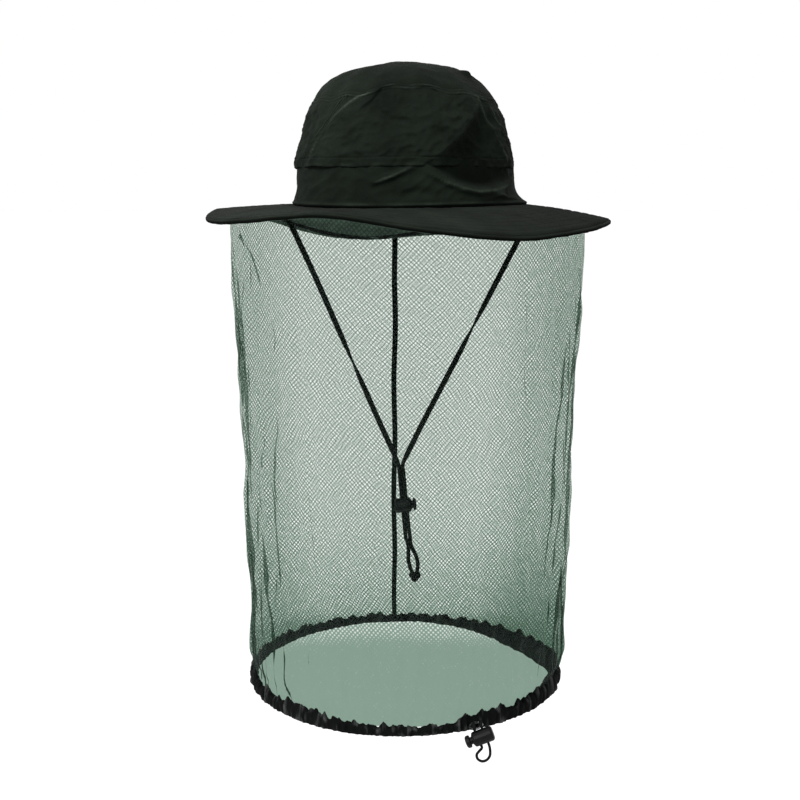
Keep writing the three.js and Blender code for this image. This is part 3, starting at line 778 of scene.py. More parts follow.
def seam_relief(distance, along, seed):
    """The cloth's height beside a seam: turned in at the edge, raised, stitched down, and puckered."""
    turned_in = -SEAM_DEPTH * ridge(distance, 0.0007)
    raised = 0.6 * SEAM_DEPTH * ridge(distance - SEAM_ROLL, 0.0009)
    stitched = -0.5 * SEAM_DEPTH * ridge(distance - STITCH_ROW, 0.0005)
    puckers = noise_at([(place / 0.0035, seed * 9.7, 3) for place in along])
    return turned_in + raised + stitched + 0.0009 * puckers * np.exp(-distance / 0.005)


def crown_panel_point(u, v, middle, half_angle, seed):
    """Front, back or side panel: v below 0 is the hem turned up inside the overhang."""
    up = np.clip(v, 0, 1)
    reach = half_angle(OVERHANG_HEIGHT + (TOP_SEAM_HEIGHT - OVERHANG_HEIGHT) * up)
    angle = np.radians(middle + reach * (2 * u - 1))
    height = top_seam(angle) - OVERHANG_HEIGHT
    z = OVERHANG_HEIGHT + height * np.abs(v) + 0.0010
    shown = OVERHANG_HEIGHT + height * up
    half_width = crown_half_width(z)
    girth = half_width * (1 + HEAD_DEPTH_RATIO) / 2
    to_side = np.radians(reach) * np.minimum(u, 1 - u) * 2 * girth
    to_top = top_seam(angle) - shown
    to_hem = shown - OVERHANG_HEIGHT
    inside = rising(np.minimum(to_side, to_top), 0, 0.010)
    out = crown_wrinkles(angle, shown) * (0.15 + 0.85 * inside)
    out += seam_relief(to_side, shown, seed)
    along = np.degrees(angle) * AROUND_CROWN
    top_shows = patchy(along, 31)
    out += seam_relief(to_top, along, 31) * (0.3 + top_shows)
    rows = fell_lines(angle, shown)
    out += 0.0009 * rows
    out -= 0.0022 * np.exp(-to_hem / 0.004) + 0.0004 * ridge(to_hem - 0.0055, 0.0006)
    hem_wave = 0.0012 * ripple(oval(angle, HEAD_HALF_WIDTH, 0 * z), 0.014, 8)
    out += hem_wave * np.exp(-to_hem / 0.008)
    out -= np.where(v < 0, 0.0020, 0)
    z = z + 0.8 * hem_wave * np.exp(-to_hem / 0.01) - 0.0010 * ridge(v, 0.03)
    z += seam_wander(angle) * up
    # Paler on the fell rows, the seam rolls and the overhang's edge: partly wear, partly painted highlight.
    rubbed = 1.1 * rows * patchy(shown, seed, 0.02) + 0.35 * seam_roll(to_side)
    rubbed += 0.30 * ridge(to_hem - 0.0008, 0.0010) * patchy(along, seed + 2)
    rubbed += 0.22 * seam_roll(to_top) * top_shows
    # deep is painted shade: under the overhang's edge, in the hollow beside the large front fold and in small
    # lines under the top seam.
    deep = 0.6 * ridge(to_hem + 0.0002, 0.0012) - hollow(angle, shown, CROWN_HOLLOW, 0.75, 0.005, 0.032)
    for route in PAINTED_SEAM_SHADOWS:
        deep += crease(angle, shown, route, 0.8, 0.0015)
    deep = np.clip(deep * (1 - rubbed), 0, 1)
    return oval(angle, half_width, z, out), {"rubbed": np.where(v < 0, 0, rubbed), "deep": deep}


def make_crown_panels():
    rows = np.concatenate([np.linspace(-0.17, 0, 8)[:-1], np.linspace(0, 0.2, 26)[:-1],
                           np.linspace(0.2, 0.85, 52)[:-1], np.linspace(0.85, 1, 24)])
    panels = [("front", -90, False), ("left", 180, True), ("back", 90, False), ("right", 0, True)]
    for order, (side, middle, narrow) in enumerate(panels):
        def half_angle(z, narrow=narrow):
            return 90 - seam_half_angle(z) if narrow else seam_half_angle(z)

        def place(u, v, middle=middle, half_angle=half_angle, order=order):
            return crown_panel_point(u, v, middle + CROWN_TURN, half_angle, 11 + 3 * order)

        edge = np.linspace(0, 0.08 if narrow else 0.04, 18)
        between = np.linspace(edge[-1], 1 - edge[-1], 60 if narrow else 130)
        columns = np.concatenate([edge[:-1], between, 1 - edge[-2::-1]])
        size = (0.09 if narrow else 0.21, 0.055)
        panel = grid(f"crown_{side}_panel_cloth", place, columns, rows, size)
        thicken(panel, CROWN_CLOTH_THICKNESS)
        finish(panel, crown_cloth, "crown_cloth", "hat", f"crown_{side}_panel")


TOP_PEAK = (0.0440, -0.034)  # where the top's cloth is pushed up, at the front right
TOP_PEAK_RISE = 0.0050
TOP_NOTCH = (-0.019, -0.078)  # and where it dips, at the front left
TOP_NOTCH_DEPTH = 0.0016


def lump(points, middle):
    """1 at a place on the crown's top, falling to 0 round it."""
    return ridge(np.hypot(points[:, 0] - middle[0], points[:, 1] - middle[1]), 0.004)


def top_panel_point(angle, v):
    """The round top: v is 0 at its seam and 1 at the middle."""
    heights = np.linspace(TOP_SEAM_HEIGHT, CROWN_HEIGHT, 400)
    widths = crown_half_width(heights)
    rim = widths[0]
    slope = np.concatenate([[0], np.cumsum(np.hypot(np.diff(heights), np.diff(widths)))])
    start = np.interp(top_seam(angle), heights, slope)
    run = v * (slope[-1] - start)
    z = np.interp(start + run, slope, heights)
    half_width = np.interp(start + run, slope, widths)
    flat = oval(angle, half_width, z)
    wrinkle = 0.0014 * ripple(flat, 0.035, 4) + 0.0007 * crumple(flat, 0.016, 5)
    wrinkle += 0.0003 * ripple(flat, 0.005, 6)
    from_seam = rising(run, 0, 0.012)
    along = np.degrees((angle - math.pi / 2) % TURN + math.pi / 2) * AROUND_CROWN
    shows = patchy(along, 31)
    relief = seam_relief(run, along, 31) * (0.3 + shows)
    steep = rising(z, CROWN_HEIGHT, CROWN_HEIGHT - 0.012)
    lift = wrinkle * (0.15 + 0.85 * from_seam)
    peak = TOP_PEAK_RISE * lump(flat, TOP_PEAK)
    notch = -TOP_NOTCH_DEPTH * lump(flat, TOP_NOTCH)
    out = (lift + relief + peak + notch) * steep
    point = oval(angle, half_width, z, out * np.clip(half_width / rim, 0.2, 1))
    point[:, 2] += (lift + peak) * (1 - 0.6 * steep) - 0.0008 * (1 - steep)
    point[:, 2] += seam_wander(angle) * rising(v, 0.625, 0)
    # The seam's roll is painted paler, as wear and as painted highlight.
    rubbed = 0.22 * seam_roll(run) * shows
    return point, {"rubbed": rubbed}


def make_top_panel():
    rows = np.concatenate([np.linspace(0, 0.12, 22)[:-1], np.linspace(0.12, 0.995, 60)])
    top = ring_grid("crown_top_panel_cloth", top_panel_point, 300, rows, (0.5, 0.085), capped=True)
    thicken(top, CROWN_CLOTH_THICKNESS)
    finish(top, crown_cloth, "crown_cloth", "hat", "crown_top_panel")


BAND_CREASES = [  # on the hat band, the same as CROWN_CREASES
    ([(-107, 17.5), (-98, 21.5), (-86, 29)], 2.8, 2),
    ([(-18, 21), (-29, 15.8), (-40, 12.5), (-52, 11.2), (-62, 14), (-72, 19), (-82, 27)], 3.2, 2),
    ([(-42, 10.5), (-30, 7.2), (-16, 5.8)], 2.2, 1.8),
    ([(-96, 9), (-84, 12), (-72, 9)], -2, 3.6),
    ([(-56, 4.5), (-42, 8), (-26, 14)], 2, 2.5),
    ([(-150, 10), (-138, 16), (-126, 24)], 1, 4),
    ([(10, 10), (26, 18), (40, 26)], 2, 3),
    ([(70, 24), (88, 14), (104, 10)], 2.2, 3),
    ([(140, 10), (156, 19), (170, 24)], 1.8, 3),
    ([(178, 8), (186, 14), (196, 24)], -1.6, 4),
]
# The line of the band's own large fold, under the one above.
BAND_HOLLOW = [(-22, 21.5), (-31, 18), (-41, 15.5), (-52, 14.5), (-62, 17.5), (-72, 23.5), (-80, 31)]


def make_hat_band():
    """The lower crown wall, tucked up inside the overhang and creased where it slumps."""
    heights = np.array([0.0012, 0.0023, 0.007, 0.014, 0.024, 0.036])
    widths = np.array([0.0876, 0.0868, 0.086, 0.0849, 0.0839, 0.0827])

    def place(angle, v):
        z = heights[0] + (heights[-1] - heights[0]) * v
        half_width = np.interp(z, heights, widths)
        sag = seam_dip(angle) * (1 - v) ** 1.5
        points = oval(angle, HEAD_HALF_WIDTH, z * 1.6)
        moved = 0.0010 * ripple(points, 0.030, 21) + 0.0006 * crumple(points, 0.012, 22)
        for route, depth, width in BAND_CREASES:
            moved += crease(angle, z, route, depth * MM, width * MM)
        moved += hollow(angle, z, BAND_HOLLOW, 0.0085, 0.0030, 0.026)
        held = rising(z, 0.002, 0.008)
        from_seam = z - heights[0]
        moved = moved * held + 0.0010 * ridge(from_seam - 0.0026, 0.0012) - 0.0018 * ridge(from_seam, 0.0012)
        flare = 0.0085 * ridge_at(angle, -4, 0.42) * ridge(z, 0.0075)
        crest = rising(moved, 0.0012, 0.0028) * rising(z, 0.008, 0.012)
        out = np.clip(moved, -0.0042, 0.0034) + flare
        # Paler along the row of stitches by the seam, as wear and as painted highlight, and painted highlight
        # on the crests of the folds.
        rubbed = 0.22 * ridge(from_seam - 0.0030, 0.0009) * patchy(angle / TURN * 0.6, 43, 0.02)
        rubbed += 0.45 * crest
        # deep is painted shade: in the seam's gap by the brim, in the hollow under the large fold and along
        # the lower part of the first crease.
        deep = 0.95 * ridge(from_seam, 0.0014) - hollow(angle, z, BAND_HOLLOW, 0.95, 0.0030, 0.026)
        deep += crease(angle, z, BAND_CREASES[0][0], 0.7, 0.0022) * (z < 0.0235)
        deep = np.clip(deep, 0, 1) * (1 - crest)
        return oval(angle, half_width, z - sag, out), {"rubbed": rubbed, "deep": deep}

    rows = np.concatenate([np.linspace(0, 0.12, 14)[:-1], np.linspace(0.12, 1, 44)])
    band = ring_grid("hat_band_cloth", place, 460, rows, (0.6, 0.036))
    thicken(band, CROWN_CLOTH_THICKNESS)
    finish(band, crown_cloth, "crown_cloth", "hat", "hat_band")


def make_sweatband():
    """The tape inside the head opening, stitched at its lower edge and free at its upper one."""
    def place(angle, v):
        z = 0.032 * v
        points = oval(angle, 0.081, z)
        out = 0.0008 * ripple(points, 0.030, 51) * (0.3 + v) - 0.0004 * ridge(z - 0.003, 0.0006)
        out += 0.0005 * ridge(z - 0.0305, 0.0012) + 0.0005 * ridge(z - 0.001, 0.0012)
        return oval(angle, 0.0806 - 0.0050 * v**1.2, z, out)

    rows = np.concatenate([np.linspace(0, 0.2, 16)[:-1], np.linspace(0.2, 1, 24)])
    band = ring_grid("sweatband_cloth", place, 220, rows, (0.56, 0.032))
    thicken(band, 0.0009)
    finish(band, lining_cloth, "lining_cloth", "hat", "sweatband")


# ---- Brim ------------------------------------------------------------------------------------------
ROW_SPACING = 0.0066
BRIM_ROWS = np.arange(1, 10) * ROW_SPACING + 0.0015  # rows of stitching, outwards from the crown
PLY_INNER = 0.00065  # a ply's inner face, from the brim's middle
PLY_THICKNESS = 0.0006


def brim_relief(angle, out, seed):
    """Quilting: each row of stitches draws the cloth in, and it puffs and puckers between rows."""
    gap = np.min(np.abs(out[:, None] - BRIM_ROWS[None]), axis=1)
    lane = np.floor((out - BRIM_ROWS[0]) / ROW_SPACING) * 3.7 + seed
    pucker, fine = (noise_at(spots_round(angle, lane, scale)) for scale in (16, 42))
    return (0.00032 * pucker + 0.00022 * fine) * rising(gap, 0, 0.0024) - 0.00026 * ridge(gap, 0.0007)


def brim_warp(points):
    """Both plies and the interlining bend together, a little unevenly."""
    return 0.0007 * ripple(points, 0.05, 61) + 0.00025 * ripple(points, 0.016, 62)


def brim_columns(inner, outer):
    """Distances outwards, closer together at each row of stitches."""
    steps = [inner, outer]
    for row in BRIM_ROWS:
        steps += [row + k for k in (-0.0022, -0.0012, -0.0006, 0.0, 0.0006, 0.0012, 0.0022)]
    return np.array(sorted(s for s in steps if inner <= s <= outer))


def make_brim_ply(side, node, piece_name):
    """side is 1 for the upper ply and -1 for the lower one."""
    outs = brim_columns(-0.0040, BRIM_WIDTH - 0.0005)
    shares = (outs - outs[0]) / (outs[-1] - outs[0])

    def place(angle, v):
        out = outs[0] + (outs[-1] - outs[0]) * v
        flat = brim_point(angle, out, 0.0)
        lift = brim_warp(flat) + side * (PLY_INNER + PLY_THICKNESS + brim_relief(angle, out, 5 * side))
        flat[:, 2] += lift
        bend = ridge(out - 0.011, 0.006) * patchy(angle / TURN * 0.8, 77, 0.05)  # painted paler where it bends down: a painted highlight along the bend
        painted_side_shade = 0.5 * ridge_at(angle, -14, 0.65)  # painted shade on the upper ply's right side, away from the key light
        return flat, {"rubbed": 0.12 * bend, "deep": painted_side_shade if side > 0 else 0 * painted_side_shade}

    ply = ring_grid(piece_name, place, 420, shares, (0.8, BRIM_WIDTH), flip=side < 0)
    thicken(ply, PLY_THICKNESS)
    finish(ply, brim_cloth if side > 0 else brim_underside_painted_light, "brim_cloth", "hat", node)


def make_interlining():
    def place(angle, v):
        flat = brim_point(angle, -0.0015 + (BRIM_WIDTH + 0.0005) * v, 0.0)
        flat[:, 2] += brim_warp(flat)
        return flat

    felt = ring_grid("brim_interlining_felt", place, 180, np.linspace(0, 1, 12), (0.8, BRIM_WIDTH))
    thicken(felt, 0.0008, 0.0)
    finish(felt, lining_cloth, "lining_cloth", "hat", "brim_interlining")


def make_edge_binding():
    """A bias tape folded over the brim's edge and stitched through both plies."""
    half = PLY_INNER + PLY_THICKNESS + 0.00005
    turn = np.linspace(-math.pi / 2, math.pi / 2, 11)
    flap = np.linspace(BRIM_WIDTH - 0.0068, BRIM_WIDTH - 0.0006, 12)
    section = [(out, half) for out in flap]
    section += [(BRIM_WIDTH - 0.0004 + 0.0016 * math.cos(t), -half * math.sin(t)) for t in turn]
    section += [(out, -half) for out in flap[::-1]]
    section = np.array(section)

    def place(angle, v):
        step = np.rint(v * (len(section) - 1)).astype(int)
        out, lift = section[step, 0], section[step, 1]
        flat = brim_point(angle, np.minimum(out, BRIM_WIDTH), 0.0)
        warp = brim_warp(flat)
        pucker = noise_at(spots_round(angle, lift * 500, 30))
        row = ridge(BRIM_WIDTH - 0.0052 - out, 0.0008)
        puff = np.sign(lift) * (0.0003 - 0.0002 * row + 0.00015 * pucker)
        point = brim_point(angle, out + 0.0002 * pucker, 0.0)
        point[:, 2] += warp + lift + puff
        # deep here is painted shade on the binding's lower half, under the brim's edge.
        return point, {"deep": 0.9 * rising(lift, 0.7 * half, 0)}

    rows = np.linspace(0, 1, len(section))
    binding = ring_grid("brim_edge_binding_tape", place, 460, rows, (0.97, 0.016))
    thicken(binding, 0.0005, 1.0)
    finish(binding, brim_cloth, "brim_cloth", "hat", "brim_edge_binding")


def make_cord_tab(name, node, x, y):
    """A short loop of tape, sewn under the brim beside the crown, that the chin cord is tied into."""
    turn = np.linspace(0, math.pi, 13)
    section = [(-0.0011, 0.0), (-0.00115, -0.002)]
    section += [(-0.0013 * math.cos(t), -0.0052 - 0.0013 * math.sin(t)) for t in turn]
    section += [(0.00115, -0.002), (0.0011, 0.0)]
    section = np.array(section)

    def place(u, v):
        step = np.rint(v * (len(section) - 1)).astype(int)
        across = (u - 0.5) * 0.009
        return np.stack([x + section[step, 0], y + across, section[step, 1] - 0.0017], axis=1)

    rows = np.linspace(0, 1, len(section))
    tab = grid(name, place, np.linspace(0, 1, 9), rows, (0.009, 0.012))
    thicken(tab, 0.0006, 0.0)
    finish(tab, brim_cloth, "brim_cloth", "hat", node)


# ---- Net -------------------------------------------------------------------------------------------
NET_FLAT_WIDTH = 0.95
NET_LENGTH = 0.37
NET_TOP_DROP = 0.0026  # the net's top edge, below the brim's middle
NET_MEAN_RADIUS = 0.135
BACK_TAPE_WIDTH = 0.0045
# The share of the way down the net, and how much of its pitch a thread fills there.
NET_THREAD_SHARES = [(0.0, 0.205), (0.35, 0.212), (0.62, 0.232), (0.75, 0.270), (0.86, 0.335), (1.0, 0.460)]

# Small folds where the net is gathered into the hem's casing, and into the seam at its top.
rng = np.random.default_rng(7)
HEM_GATHERS = 66
gather_angles = (np.arange(HEM_GATHERS) + rng.uniform(-0.35, 0.35, HEM_GATHERS)) * TURN / HEM_GATHERS
gather_sizes = rng.uniform(0.3, 1.0, HEM_GATHERS) * rng.choice([-1, 1], HEM_GATHERS) * 0.0030
gather_lengths = rng.choice([0.04, 0.07, 0.11, 0.18], HEM_GATHERS)
gather_drifts = rng.uniform(-0.10, 0.10, HEM_GATHERS)
TOP_GATHERS = 44
top_angles = (np.arange(TOP_GATHERS) + rng.uniform(-0.4, 0.4, TOP_GATHERS)) * TURN / TOP_GATHERS
top_sizes = rng.uniform(0.3, 1.0, TOP_GATHERS) * 0.0020
top_lengths = rng.uniform(0.015, 0.07, TOP_GATHERS)
top_drifts = rng.uniform(-0.25, 0.25, TOP_GATHERS)

NET_PLEATS = [  # degrees round and height at the top, the same at the bottom, and depth
    (-152, -12, -140, -52, 4), (-137, -145, -135, -215, 4.5), (-122, -150, -121, -320, 3.4),
    (-41, -78, -60, -120, 4.5), (-33, -160, -38, -260, 3.6), (-168, -200, -158, -300, 4),
    (-24, -230, -30, -345, 4.5), (-101, -300, -94, -352, 2.2), (-72, -250, -70, -315, 2),
    (-137, -322, -133, -366, 4), (-63, -310, -50, -364, 4.2), (-37, -320, -33, -360, 3),
    (-146, -240, -143, -340, 4.2), (-52, -280, -49, -345, 3.6), (-15, -60, -22, -130, 3.6),
    (12, -120, 22, -300, 4), (42, -60, 36, -180, 3.6), (58, -200, 61, -340, 3.2),
    (74, -240, 72, -330, 2.6), (118, -220, 116, -335, 3), (134, -80, 141, -250, 3.8),
    (160, -150, 155, -330, 4), (176, -40, 171, -140, 3.4), (-144, -158, -143, -190, 3),
    (-133, -78, -134, -100, 3), (-27, -72, -27, -142, 3.6), (-34, -80, -35, -145, 3.2),
    (-46, -156, -51, -202, 5), (-60, -188, -60, -222, 3.6), (-20, -150, -24, -210, 3.6),
    (-155, -80, -157, -170, 3.4), (-162, -50, -160, -110, 3), (-124.5, -306, -122.5, -338, 3.4),
    (-122, -70, -120, -175, 3.4), (-66, -215, -68, -268, 4.8), (-53, -22, -50, -85, 3.6),
    (-139, -195, -137, -285, 4), (-44, -190, -48, -235, 4),
]
DRAWN_HEIGHT = -0.288  # the net is bunched below this, at the front
DRAWN_FALL = 0.034  # how much lower that is round at the sides


def net_base(angle, v):
    """The net's plain shape: the distance from the upright axis, the bearing, and the height."""
    top = brim_point(angle, net_seam_out(angle), -NET_TOP_DROP)
    stops = [NET_BEND, NET_CASING, 1.0]
    radii = [NET_LOW_RADIUS, NET_END_RADIUS, NET_END_RADIUS]
    heights = [NET_LOW_HEIGHT, NET_CASING_HEIGHT, NET_END_HEIGHT]
    share = rising(v, 0, NET_BEND)
    radius = np.hypot(top[:, 0], top[:, 1])
    bearing = np.arctan2(top[:, 1], top[:, 0])
    left = ridge_at(angle, 180, 0.8)
    low_radius = np.interp(v, stops, radii) - 0.0040 * left * rising(v, 0.985, 0.955)
    low_height = np.interp(v, stops, heights)
    radius = radius + (low_radius - radius) * share
    bearing = bearing + turns_between(angle, bearing) * share
    z = top[:, 2] + (low_height - top[:, 2]) * share
    return radius, bearing, z


def net_folds(angle, v):
    """How far the net stands out from its plain shape."""
    down = v * NET_LENGTH
    up = NET_LENGTH - down
    out = np.zeros(len(angle))
    for where, size, length, drift in zip(gather_angles, gather_sizes, gather_lengths, gather_drifts):
        gap = turns_between(angle, where + drift * up + 0.02 * np.sin(up * 40 + where * 5))
        out += size * np.exp(-up / length) * ridge(gap * NET_MEAN_RADIUS, 0.0022 + 0.014 * up)
    for where, size, length, drift in zip(top_angles, top_sizes, top_lengths, top_drifts):
        gap = turns_between(angle, where + drift * down)
        out += size * np.exp(-down / length) * ridge(gap * NET_MEAN_RADIUS, 0.0026 + 0.03 * down)
    height = -down - 0.006
    for top_angle, top, low_angle, low, depth in NET_PLEATS:
        along = (height / MM - top) / (low - top)
        where = np.radians(top_angle + (low_angle - top_angle) * along + 1.2 * np.sin(along * 5 + top_angle))
        gap = turns_between(angle, where) * NET_MEAN_RADIUS
        fade = rising(np.minimum(along, 1 - along), -0.15, -0.15 + 1 / 3)
        out += 0.5 * depth * MM * fade * np.tanh(gap / 0.0009) * ridge(gap, 0.011)
    spots = spots_round(angle, down / NET_MEAN_RADIUS * 0.28)
    broad = noise_at(spots, 3.1)
    folds = noise_at(spots, 9.0, (3, 1, 2))
    crinkle = noise_at(spots, 24.0, (7, 5, 9))
    middle = rising(down, 0, 0.05) * np.clip(up / 0.03, 0.25, 1)
    sharp = np.sign(folds) * np.abs(folds) ** 0.8
    out += middle * (0.0030 * broad + 0.0030 * sharp + 0.0014 * crinkle)
    out -= 0.0020 * rising(v, 0, 2 / 3)
    calm = 1 - 0.92 * ridge(turns_between(angle, SEAM_TAPE_ANGLE + SEAM_TAPE_DRIFT * v), 0.045)
    held = rising(down, 0, 0.012) * np.clip(up / 0.006, 0.2, 1)
    return out * calm * held


def net_point(angle, v, lift=0.0):
    radius, bearing, z = net_base(angle, v)
    radius = radius + net_folds(angle, v) + lift
    return np.stack([radius * np.cos(bearing), radius * np.sin(bearing), z], axis=1)


def thread_share(angle, v):
    """How much of its pitch a thread fills: the net is closer where it is gathered, and at the front the
    drawcord bunches it up."""
    stops, shares = zip(*NET_THREAD_SHARES)
    share = np.interp(v, stops, shares)
    to_left, to_right = -np.cos(angle), np.cos(angle)
    closer = 0.44 * rising(to_left, 0.60, 0.86) + 0.48 * rising(to_right, 0.50, 0.80)
    closer += 0.22 * rising(to_right, 0.80, 0.92) * rising(v, 0.5, 0.3)
    closer += 0.10 * rising(v, 0.6, 0.9) * rising(to_right, 0.20, 0.50)
    closer -= 0.20 * rising(v, 0.7, 0.9) * rising(to_left, 0.60, 0.90)
    share = share * (1 + closer)
    height = net_base(angle, v)[2]
    from_front = np.abs(turns_between(angle, -math.pi / 2))
    edge = DRAWN_HEIGHT - DRAWN_FALL * (from_front / 1.1) ** 2
    bunched = rising(height, edge + 0.006, edge - 0.006)
    low = rising(height, edge - 0.012, edge - 0.024)
    bunched = bunched * rising(from_front, 1.75, 1.40)
    return share + bunched * (0.53 + 0.27 * low - share)


def squash_with_hem(piece):
    """Gives the net or its seam tape a mesh of its own."""
    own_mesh(piece)


def make_net():
    columns, rows = 720, 92
    vs = np.linspace(0, 1, rows)

    def place(angle, v):
        return net_point(angle, v), {"thread_share": thread_share(angle, v)}

    net = ring_grid("net_tube", place, columns, vs, (NET_FLAT_WIDTH, NET_LENGTH), flip=True)
    co = np.array([v.co for v in net.data.vertices]).reshape(rows, columns, 3)
    steps = np.linalg.norm(np.roll(co, -1, axis=1) - co, axis=2)
    along = np.concatenate([np.zeros((rows, 1)), np.cumsum(steps, axis=1)], axis=1)
    along *= NET_FLAT_WIDTH / along[:, -1:]
    uvs = []
    for j in range(rows - 1):
        for i in range(columns):
            corners = [(j, i), (j, i + 1), (j + 1, i + 1), (j + 1, i)]
            uvs += [(along[row, column], vs[row] * NET_LENGTH) for row, column in reversed(corners)]
    net.data.uv_layers["cloth"].data.foreach_set("uv", np.array(uvs, np.float32).ravel())
    finish(net, netting, "netting", "hat", "net")
    squash_with_hem(net)


def make_seam_tape():
    """The tape over the net's back seam."""
    half_angle = BACK_TAPE_WIDTH / 2 / NET_MEAN_RADIUS

    def place(u, v):
        angle = SEAM_TAPE_ANGLE + SEAM_TAPE_DRIFT * v + half_angle * (2 * u - 1)
        waver = 0.004 * np.sin(v * 21) * rising(np.minimum(v, 1 - v), 0, 1 / 6)
        share = 0.004 + (0.997 - 0.004) * v
        crown = 0.00035 * (1 - (2 * u - 1) ** 2)
        return net_point(angle + waver, share, 0.0008 + crown)

    size = (BACK_TAPE_WIDTH, 0.36)
    across, up = np.linspace(0, 1, 7), np.linspace(0, 1, 120)
    tape = grid("net_back_seam_tape_strip", place, across, up, size, flip=True)
    thicken(tape, 0.0006)
    bpy.context.view_layer.objects.active = tape
    with bpy.context.temp_override(object=tape, active_object=tape, selected_objects=[tape]):
        bpy.ops.object.modifier_apply(modifier="thickness")
    finish(tape, tape_cloth, "black_tape", "hat", "net_back_seam_tape")
    squash_with_hem(tape)


def make_top_binding():
    """The tape that holds the net's top edge under the brim."""
    def place(angle, v):
        across = 0.0084 * (v - 0.5) * (1 - 0.4 * back_seam(angle))
        flat = brim_point(angle, net_seam_out(angle) + across, 0.0)
        pucker = noise_at(spots_round(angle, v * 2, 26))
        row = ridge(np.abs(across) - 0.0030, 0.0006)
        flat[:, 2] += brim_warp(flat) - 0.00175 - 0.00025 * pucker + 0.0003 * row
        return flat

    tape = ring_grid("net_top_binding_tape", place, 420, np.linspace(0, 1, 13), (0.93, 0.0084))
    thicken(tape, 0.0006, 0.0)
    finish(tape, tape_cloth, "black_tape", "hat", "net_top_binding")


# ---- Hem -------------------------------------------------------------------------------------------
HEM_TALL = [  # degrees round, and how tall the gathered casing stands there
    (-180, 9.5), (-150, 11.2), (-125, 10.8), (-104, 9.2), (-90, 7.2), (-78, 7.4), (-66, 11.2), (-45, 13),
    (-20, 16), (5, 16.5), (35, 13.5), (60, 10.5), (80, 7.4), (100, 7), (125, 8.6), (150, 9.5), (180, 9.5),
]


def hem_height(angle):
    """The gathered casing is low at the front left and bunches up to the right."""
    degrees, heights = zip(*HEM_TALL)
    return np.interp(np.degrees(turns_between(angle, 0.0)), degrees, heights) * MM


def hem_shift(angle):
    """How far the casing rides up, above level: up at the back, and down at the front left and back right."""
    up = 0.0022 * np.clip(np.sin(angle), 0, 1) ** 2
    return up - 0.0018 * ridge_at(angle, -112, 0.6) - 0.0050 * slump(angle)


def slump(angle):
    """1 where the casing is bunched thickest, and hangs inwards."""
    return ridge_at(angle, 30, 0.55)


def make_hem_casing():
    """The casing round the drawcord, gathered into small pleats with a ruffled upper edge."""
    def place(angle, v):
        t = TURN * v
        tall = hem_height(angle)
        spots = spots_round(angle, 0.0)
        pleat = noise_at(spots, 34.0)
        fine = noise_at(spots, 88.0, (4, 4, 4))
        wall = np.cos(t)
        rise = np.sin(t)
        lumps = noise_at(spots, 15.0, (2, 8, 1))
        upper = np.clip(rise, 0, 1) ** 2
        ruffle = upper * (0.0046 * lumps + 0.0034 * pleat + 0.0016 * fine) * (0.4 + tall / 0.014)
        belly = (0.0016 + 0.08 * tall) * np.abs(wall) ** 0.7 * np.sign(wall) * (1 - 0.45 * upper)
        slant = noise_at(spots_round(angle, rise * 0.8, 34.0), 1.0, (6, 0, 0))
        out = belly + (0.0022 * slant + 0.0011 * fine) * (0.55 + 0.45 * np.abs(wall))
        sway = 0.0012 * noise_at(spots, 5.0)
        z = HEM_BOTTOM + 0.0006 + tall * (0.5 + 0.5 * np.sign(rise) * np.abs(rise) ** 0.75) + ruffle
        radius = HEM_RADIUS + out + sway * 0.5 - 0.0095 * slump(angle) * (0.5 - 0.5 * wall) ** 1.5
        # Painted highlights on the crests of the pleats and lumps.
        rubbed = np.clip(1.8 * slant + 1.2 * lumps + 0.8 * fine - 0.35, 0, 1)
        z += 0.4 * sway + hem_shift(angle)
        return np.stack([radius * np.cos(angle), radius * np.sin(angle), z], axis=1), {"rubbed": rubbed}

    casing = ring_grid("hem_casing_gathered", place, 900, np.linspace(0, 1, 25), (0.95, 0.03), flip=True)
    finish(casing, tape_cloth, "black_tape", "hem", "hem_casing")
    weld = casing.modifiers.new("weld", "WELD")
    weld.merge_threshold = 0.00001


# ---- Pieces that keep their CAD shape --------------------------------------------------------------
def dress_cad(node, material, bevel=0.0002):
    """A CAD node that stays, with softened edges and its own material."""
    piece = frame["nodes"][node]
    piece.data.materials.clear()
    piece.data.materials.append(material)
    if bevel:
        rounding = piece.modifiers.new("rounding", "BEVEL")
        rounding.width = bevel
        rounding.segments = 2
        rounding.limit_method = "ANGLE"
        rounding.angle_limit = math.radians(35)


SPRING_WIRE = 0.0004
SPRING_TURNS = 3.5


def make_spring(lock, body):
    """The coil spring behind a lock's plunger. It rides on the button."""
    joint = joint_called(f"{lock}_press")
    node = frame["nodes"][f"{lock}_spring"]
    press = np.array(joint["axis"], float)
    press /= np.linalg.norm(press)
    points = np.array([node.matrix_world @ v.co for v in node.data.vertices])
    middle = (points.min(axis=0) + points.max(axis=0)) / 2
    along = (points - middle) @ press
    start, length = along.min(), float(np.ptp(along))
    outer = np.linalg.norm(points - middle - along[:, None] * press, axis=1).max()
    wire = SPRING_WIRE / 2
    other = np.cross(press, (0, 1, 0))
    t = np.linspace(0, 1, 110)
    swing = (TURN * SPRING_TURNS * t)[:, None]
    reach = (start + wire + (length - 2 * wire) * t)[:, None] * press
    coil = middle + reach + (outer - wire) * (np.cos(swing) * np.array((0, 1, 0)) + np.sin(swing) * other)
    spring = sweep(f"{lock}_spring_coil", coil, wire, wire, sides=8, start_side=press)
    finish(spring, spring_steel, "spring_steel", body, f"{lock}_spring")
    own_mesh(spring)


# ---- Light, floor and background -------------------------------------------------------------------
FLOOR_HEIGHT = -1.25
FLOOR_HALF_WIDTH = 80.0  # so wide that the hat hides its far edge


def new_light(name, kind, energy):
    light = bpy.data.objects.new(name, bpy.data.lights.new(name, kind))
    bpy.context.scene.collection.objects.link(light)
    light.data.energy = energy
    return light


